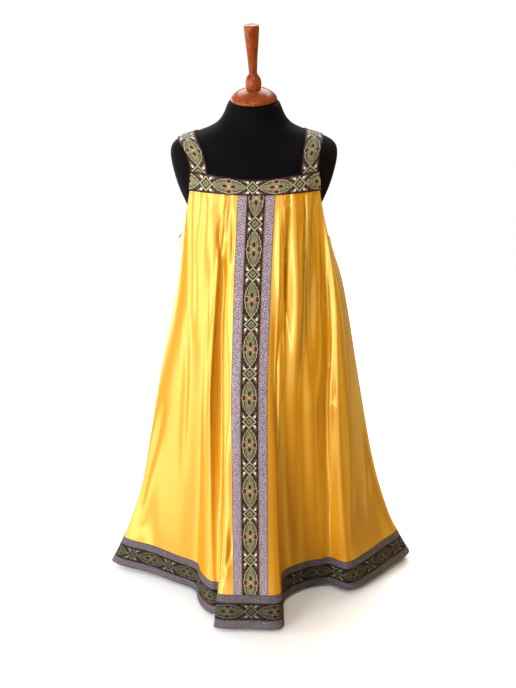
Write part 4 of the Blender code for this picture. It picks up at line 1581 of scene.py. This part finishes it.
def turned(name, profile, finish, place=Matrix.Identity(4)):
    """A disc extruded and scaled along a profile of (radius, height)."""
    bpy.ops.object.select_all(action="DESELECT")
    bpy.ops.mesh.primitive_circle_add(vertices=TURNED_SIDES, radius=profile[0][0],
                                      fill_type="NGON", location=(0, 0, profile[0][1]))
    piece = bpy.context.object
    piece.name = name
    bpy.ops.object.transform_apply(location=True)
    bpy.ops.object.mode_set(mode="EDIT")
    bpy.ops.mesh.select_all(action="SELECT")
    for low, high in zip(profile, profile[1:]):
        rise, scale = high[1] - low[1], high[0] / low[0]
        bpy.ops.mesh.extrude_region_move(TRANSFORM_OT_translate={"value": (0, 0, rise)})
        bpy.ops.transform.resize(value=(scale, scale, 1.0), center_override=(0, 0, high[1]))
    bpy.ops.mesh.select_all(action="SELECT")
    bpy.ops.mesh.normals_make_consistent(inside=False)
    bpy.ops.object.mode_set(mode="OBJECT")
    piece.data.name = name
    piece.data.transform(place)
    piece.data.materials.append(finish)
    only(piece)
    bpy.ops.object.shade_smooth_by_angle(angle=TURNED_SHARP_FROM)
    return piece


print("sides of a turned piece:", TURNED_SIDES)

# %% [markdown]
# The cap is a low dome over the neck, and the finial a slim vase with a round head. Both are
# given as a radius and a height above the piece's own foot, and are smoothed between.

# %% Cap and finial
CAP_PROFILE = (
    (0.0405, 0.0), (0.0420, 0.0006), (0.0425, 0.0015), (0.0425, 0.0045), (0.0417, 0.0062),
    (0.0405, 0.0075), (0.0360, 0.0120), (0.0290, 0.0168), (0.0210, 0.0202), (0.0150, 0.0218),
)
FINIAL_PROFILE = (
    (0.0138, 0.0), (0.0147, 0.0050), (0.0147, 0.0120), (0.0130, 0.0185), (0.0095, 0.0240),
    (0.0080, 0.0265), (0.0078, 0.0300), (0.0094, 0.0560), (0.0119, 0.0810), (0.0138, 0.1030),
    (0.0140, 0.1090), (0.0130, 0.1122), (0.0105, 0.1136), (0.0060, 0.1139),
)
NECK_TOP = 0.9920
NECK_TILT = math.radians(11.0)
FINIAL_LEAN = math.radians(-2.0)
axis_turn = Matrix.Rotation(FINIAL_LEAN, 4, "Y") @ Matrix.Rotation(NECK_TILT, 4, "X")
neck_axis = (axis_turn @ Vector((0.0, 0.0, 1.0))).normalized()
cap_foot = Vector((0.0, 0.0, NECK_TOP)) + neck_axis * (
    SEAM_GAP + math.sin(abs(FINIAL_LEAN)) * CAP_PROFILE[0][0])
finial_foot = cap_foot + neck_axis * (CAP_PROFILE[-1][1] + SEAM_GAP)
cap = turned("turned_cap", refined(CAP_PROFILE, steps=3), turned_wood,
             Matrix.Translation(cap_foot) @ axis_turn)
place_on_frame(cap, "wood", "neck_cap")
finial = turned("turned_finial", refined(FINIAL_PROFILE, steps=4), turned_wood,
                Matrix.Translation(finial_foot) @ axis_turn)
place_on_frame(finial, "wood", "finial")

# %% [markdown]
# The pole and the round base stand inside the skirt, where only a low view finds them. They
# are plain, as they would be: a drawn tube and a spun plate with a raised hub, both turned on
# the same lathe.

# %% Pole and base
POLE_RADIUS = 0.011
POLE_FOOT = 0.0143
POLE_HEAD = 0.3537
BASE_PROFILE = (
    (0.1230, 0.0), (0.1244, 0.0006), (0.1250, 0.0020), (0.1250, 0.0070), (0.1240, 0.0092),
    (0.1210, 0.0100), (0.0400, 0.0145), (0.0300, 0.0172), (0.0240, 0.0200), (0.0118, 0.0200),
    (0.0114, 0.0196), (0.0113, 0.0140),
)
POLE_EDGE = 0.0006
POLE_PROFILE = ((POLE_RADIUS - POLE_EDGE, POLE_FOOT), (POLE_RADIUS, POLE_FOOT + POLE_EDGE),
                (POLE_RADIUS, POLE_HEAD - POLE_EDGE), (POLE_RADIUS - POLE_EDGE, POLE_HEAD))
base = turned("spun_base", BASE_PROFILE, stand_paint)
place_on_frame(base, "base", "stand_base")
pole = turned("drawn_pole", POLE_PROFILE, stand_paint)
place_on_frame(pole, "steel", "stand_pole")
print("base radius:", BASE_PROFILE[2][0])

# %% [markdown]
# ## Cloth facts
# Each panel's flat size is looked up again, and the sheets are counted.

for side, piece in satin_pieces.items():
    width, length, area = flat_sizes[side]
print("sheets:", len(satin_pieces), "panels, 2 bands,", len(straps), "straps")

# %% [markdown]
# ## Floor
# A pale round floor catches the soft shadow of the hem and nothing else. The camera sees it
# nearly white, but to every other ray it is dark, so it throws no light up into the folds.

# %% Floor
FLOOR_RADIUS = 1.9
FLOOR_CENTRE = (0.0, 0.9, 0.0)
FLOOR_SIDES = 96
FLOOR_SEEN = (0.94, 0.94, 0.94)
FLOOR_UNSEEN = (0.08, 0.08, 0.08)
FLOOR_MOTTLE = 0.8
bpy.ops.object.select_all(action="DESELECT")
bpy.ops.mesh.primitive_circle_add(vertices=FLOOR_SIDES, radius=FLOOR_RADIUS, fill_type="NGON",
                                  location=FLOOR_CENTRE)
floor = bpy.context.object
floor.name = "floor"
floor_finish = Finish("pale_floor", Roughness=0.9, Specular_IOR_Level=0.1)
floor_tone = floor_finish.blotches(floor_finish.solid_place(), FLOOR_MOTTLE)
seen = floor_finish.node("ShaderNodeLightPath", output="Is Camera Ray")
pale = floor_finish.dye(seen, FLOOR_UNSEEN, FLOOR_SEEN)
pale = floor_finish.shade(pale, 0.99 + floor_tone * 0.01)
floor.data.materials.append(floor_finish.finish(pale))
print("floor radius:", FLOOR_RADIUS)

# %% [markdown]
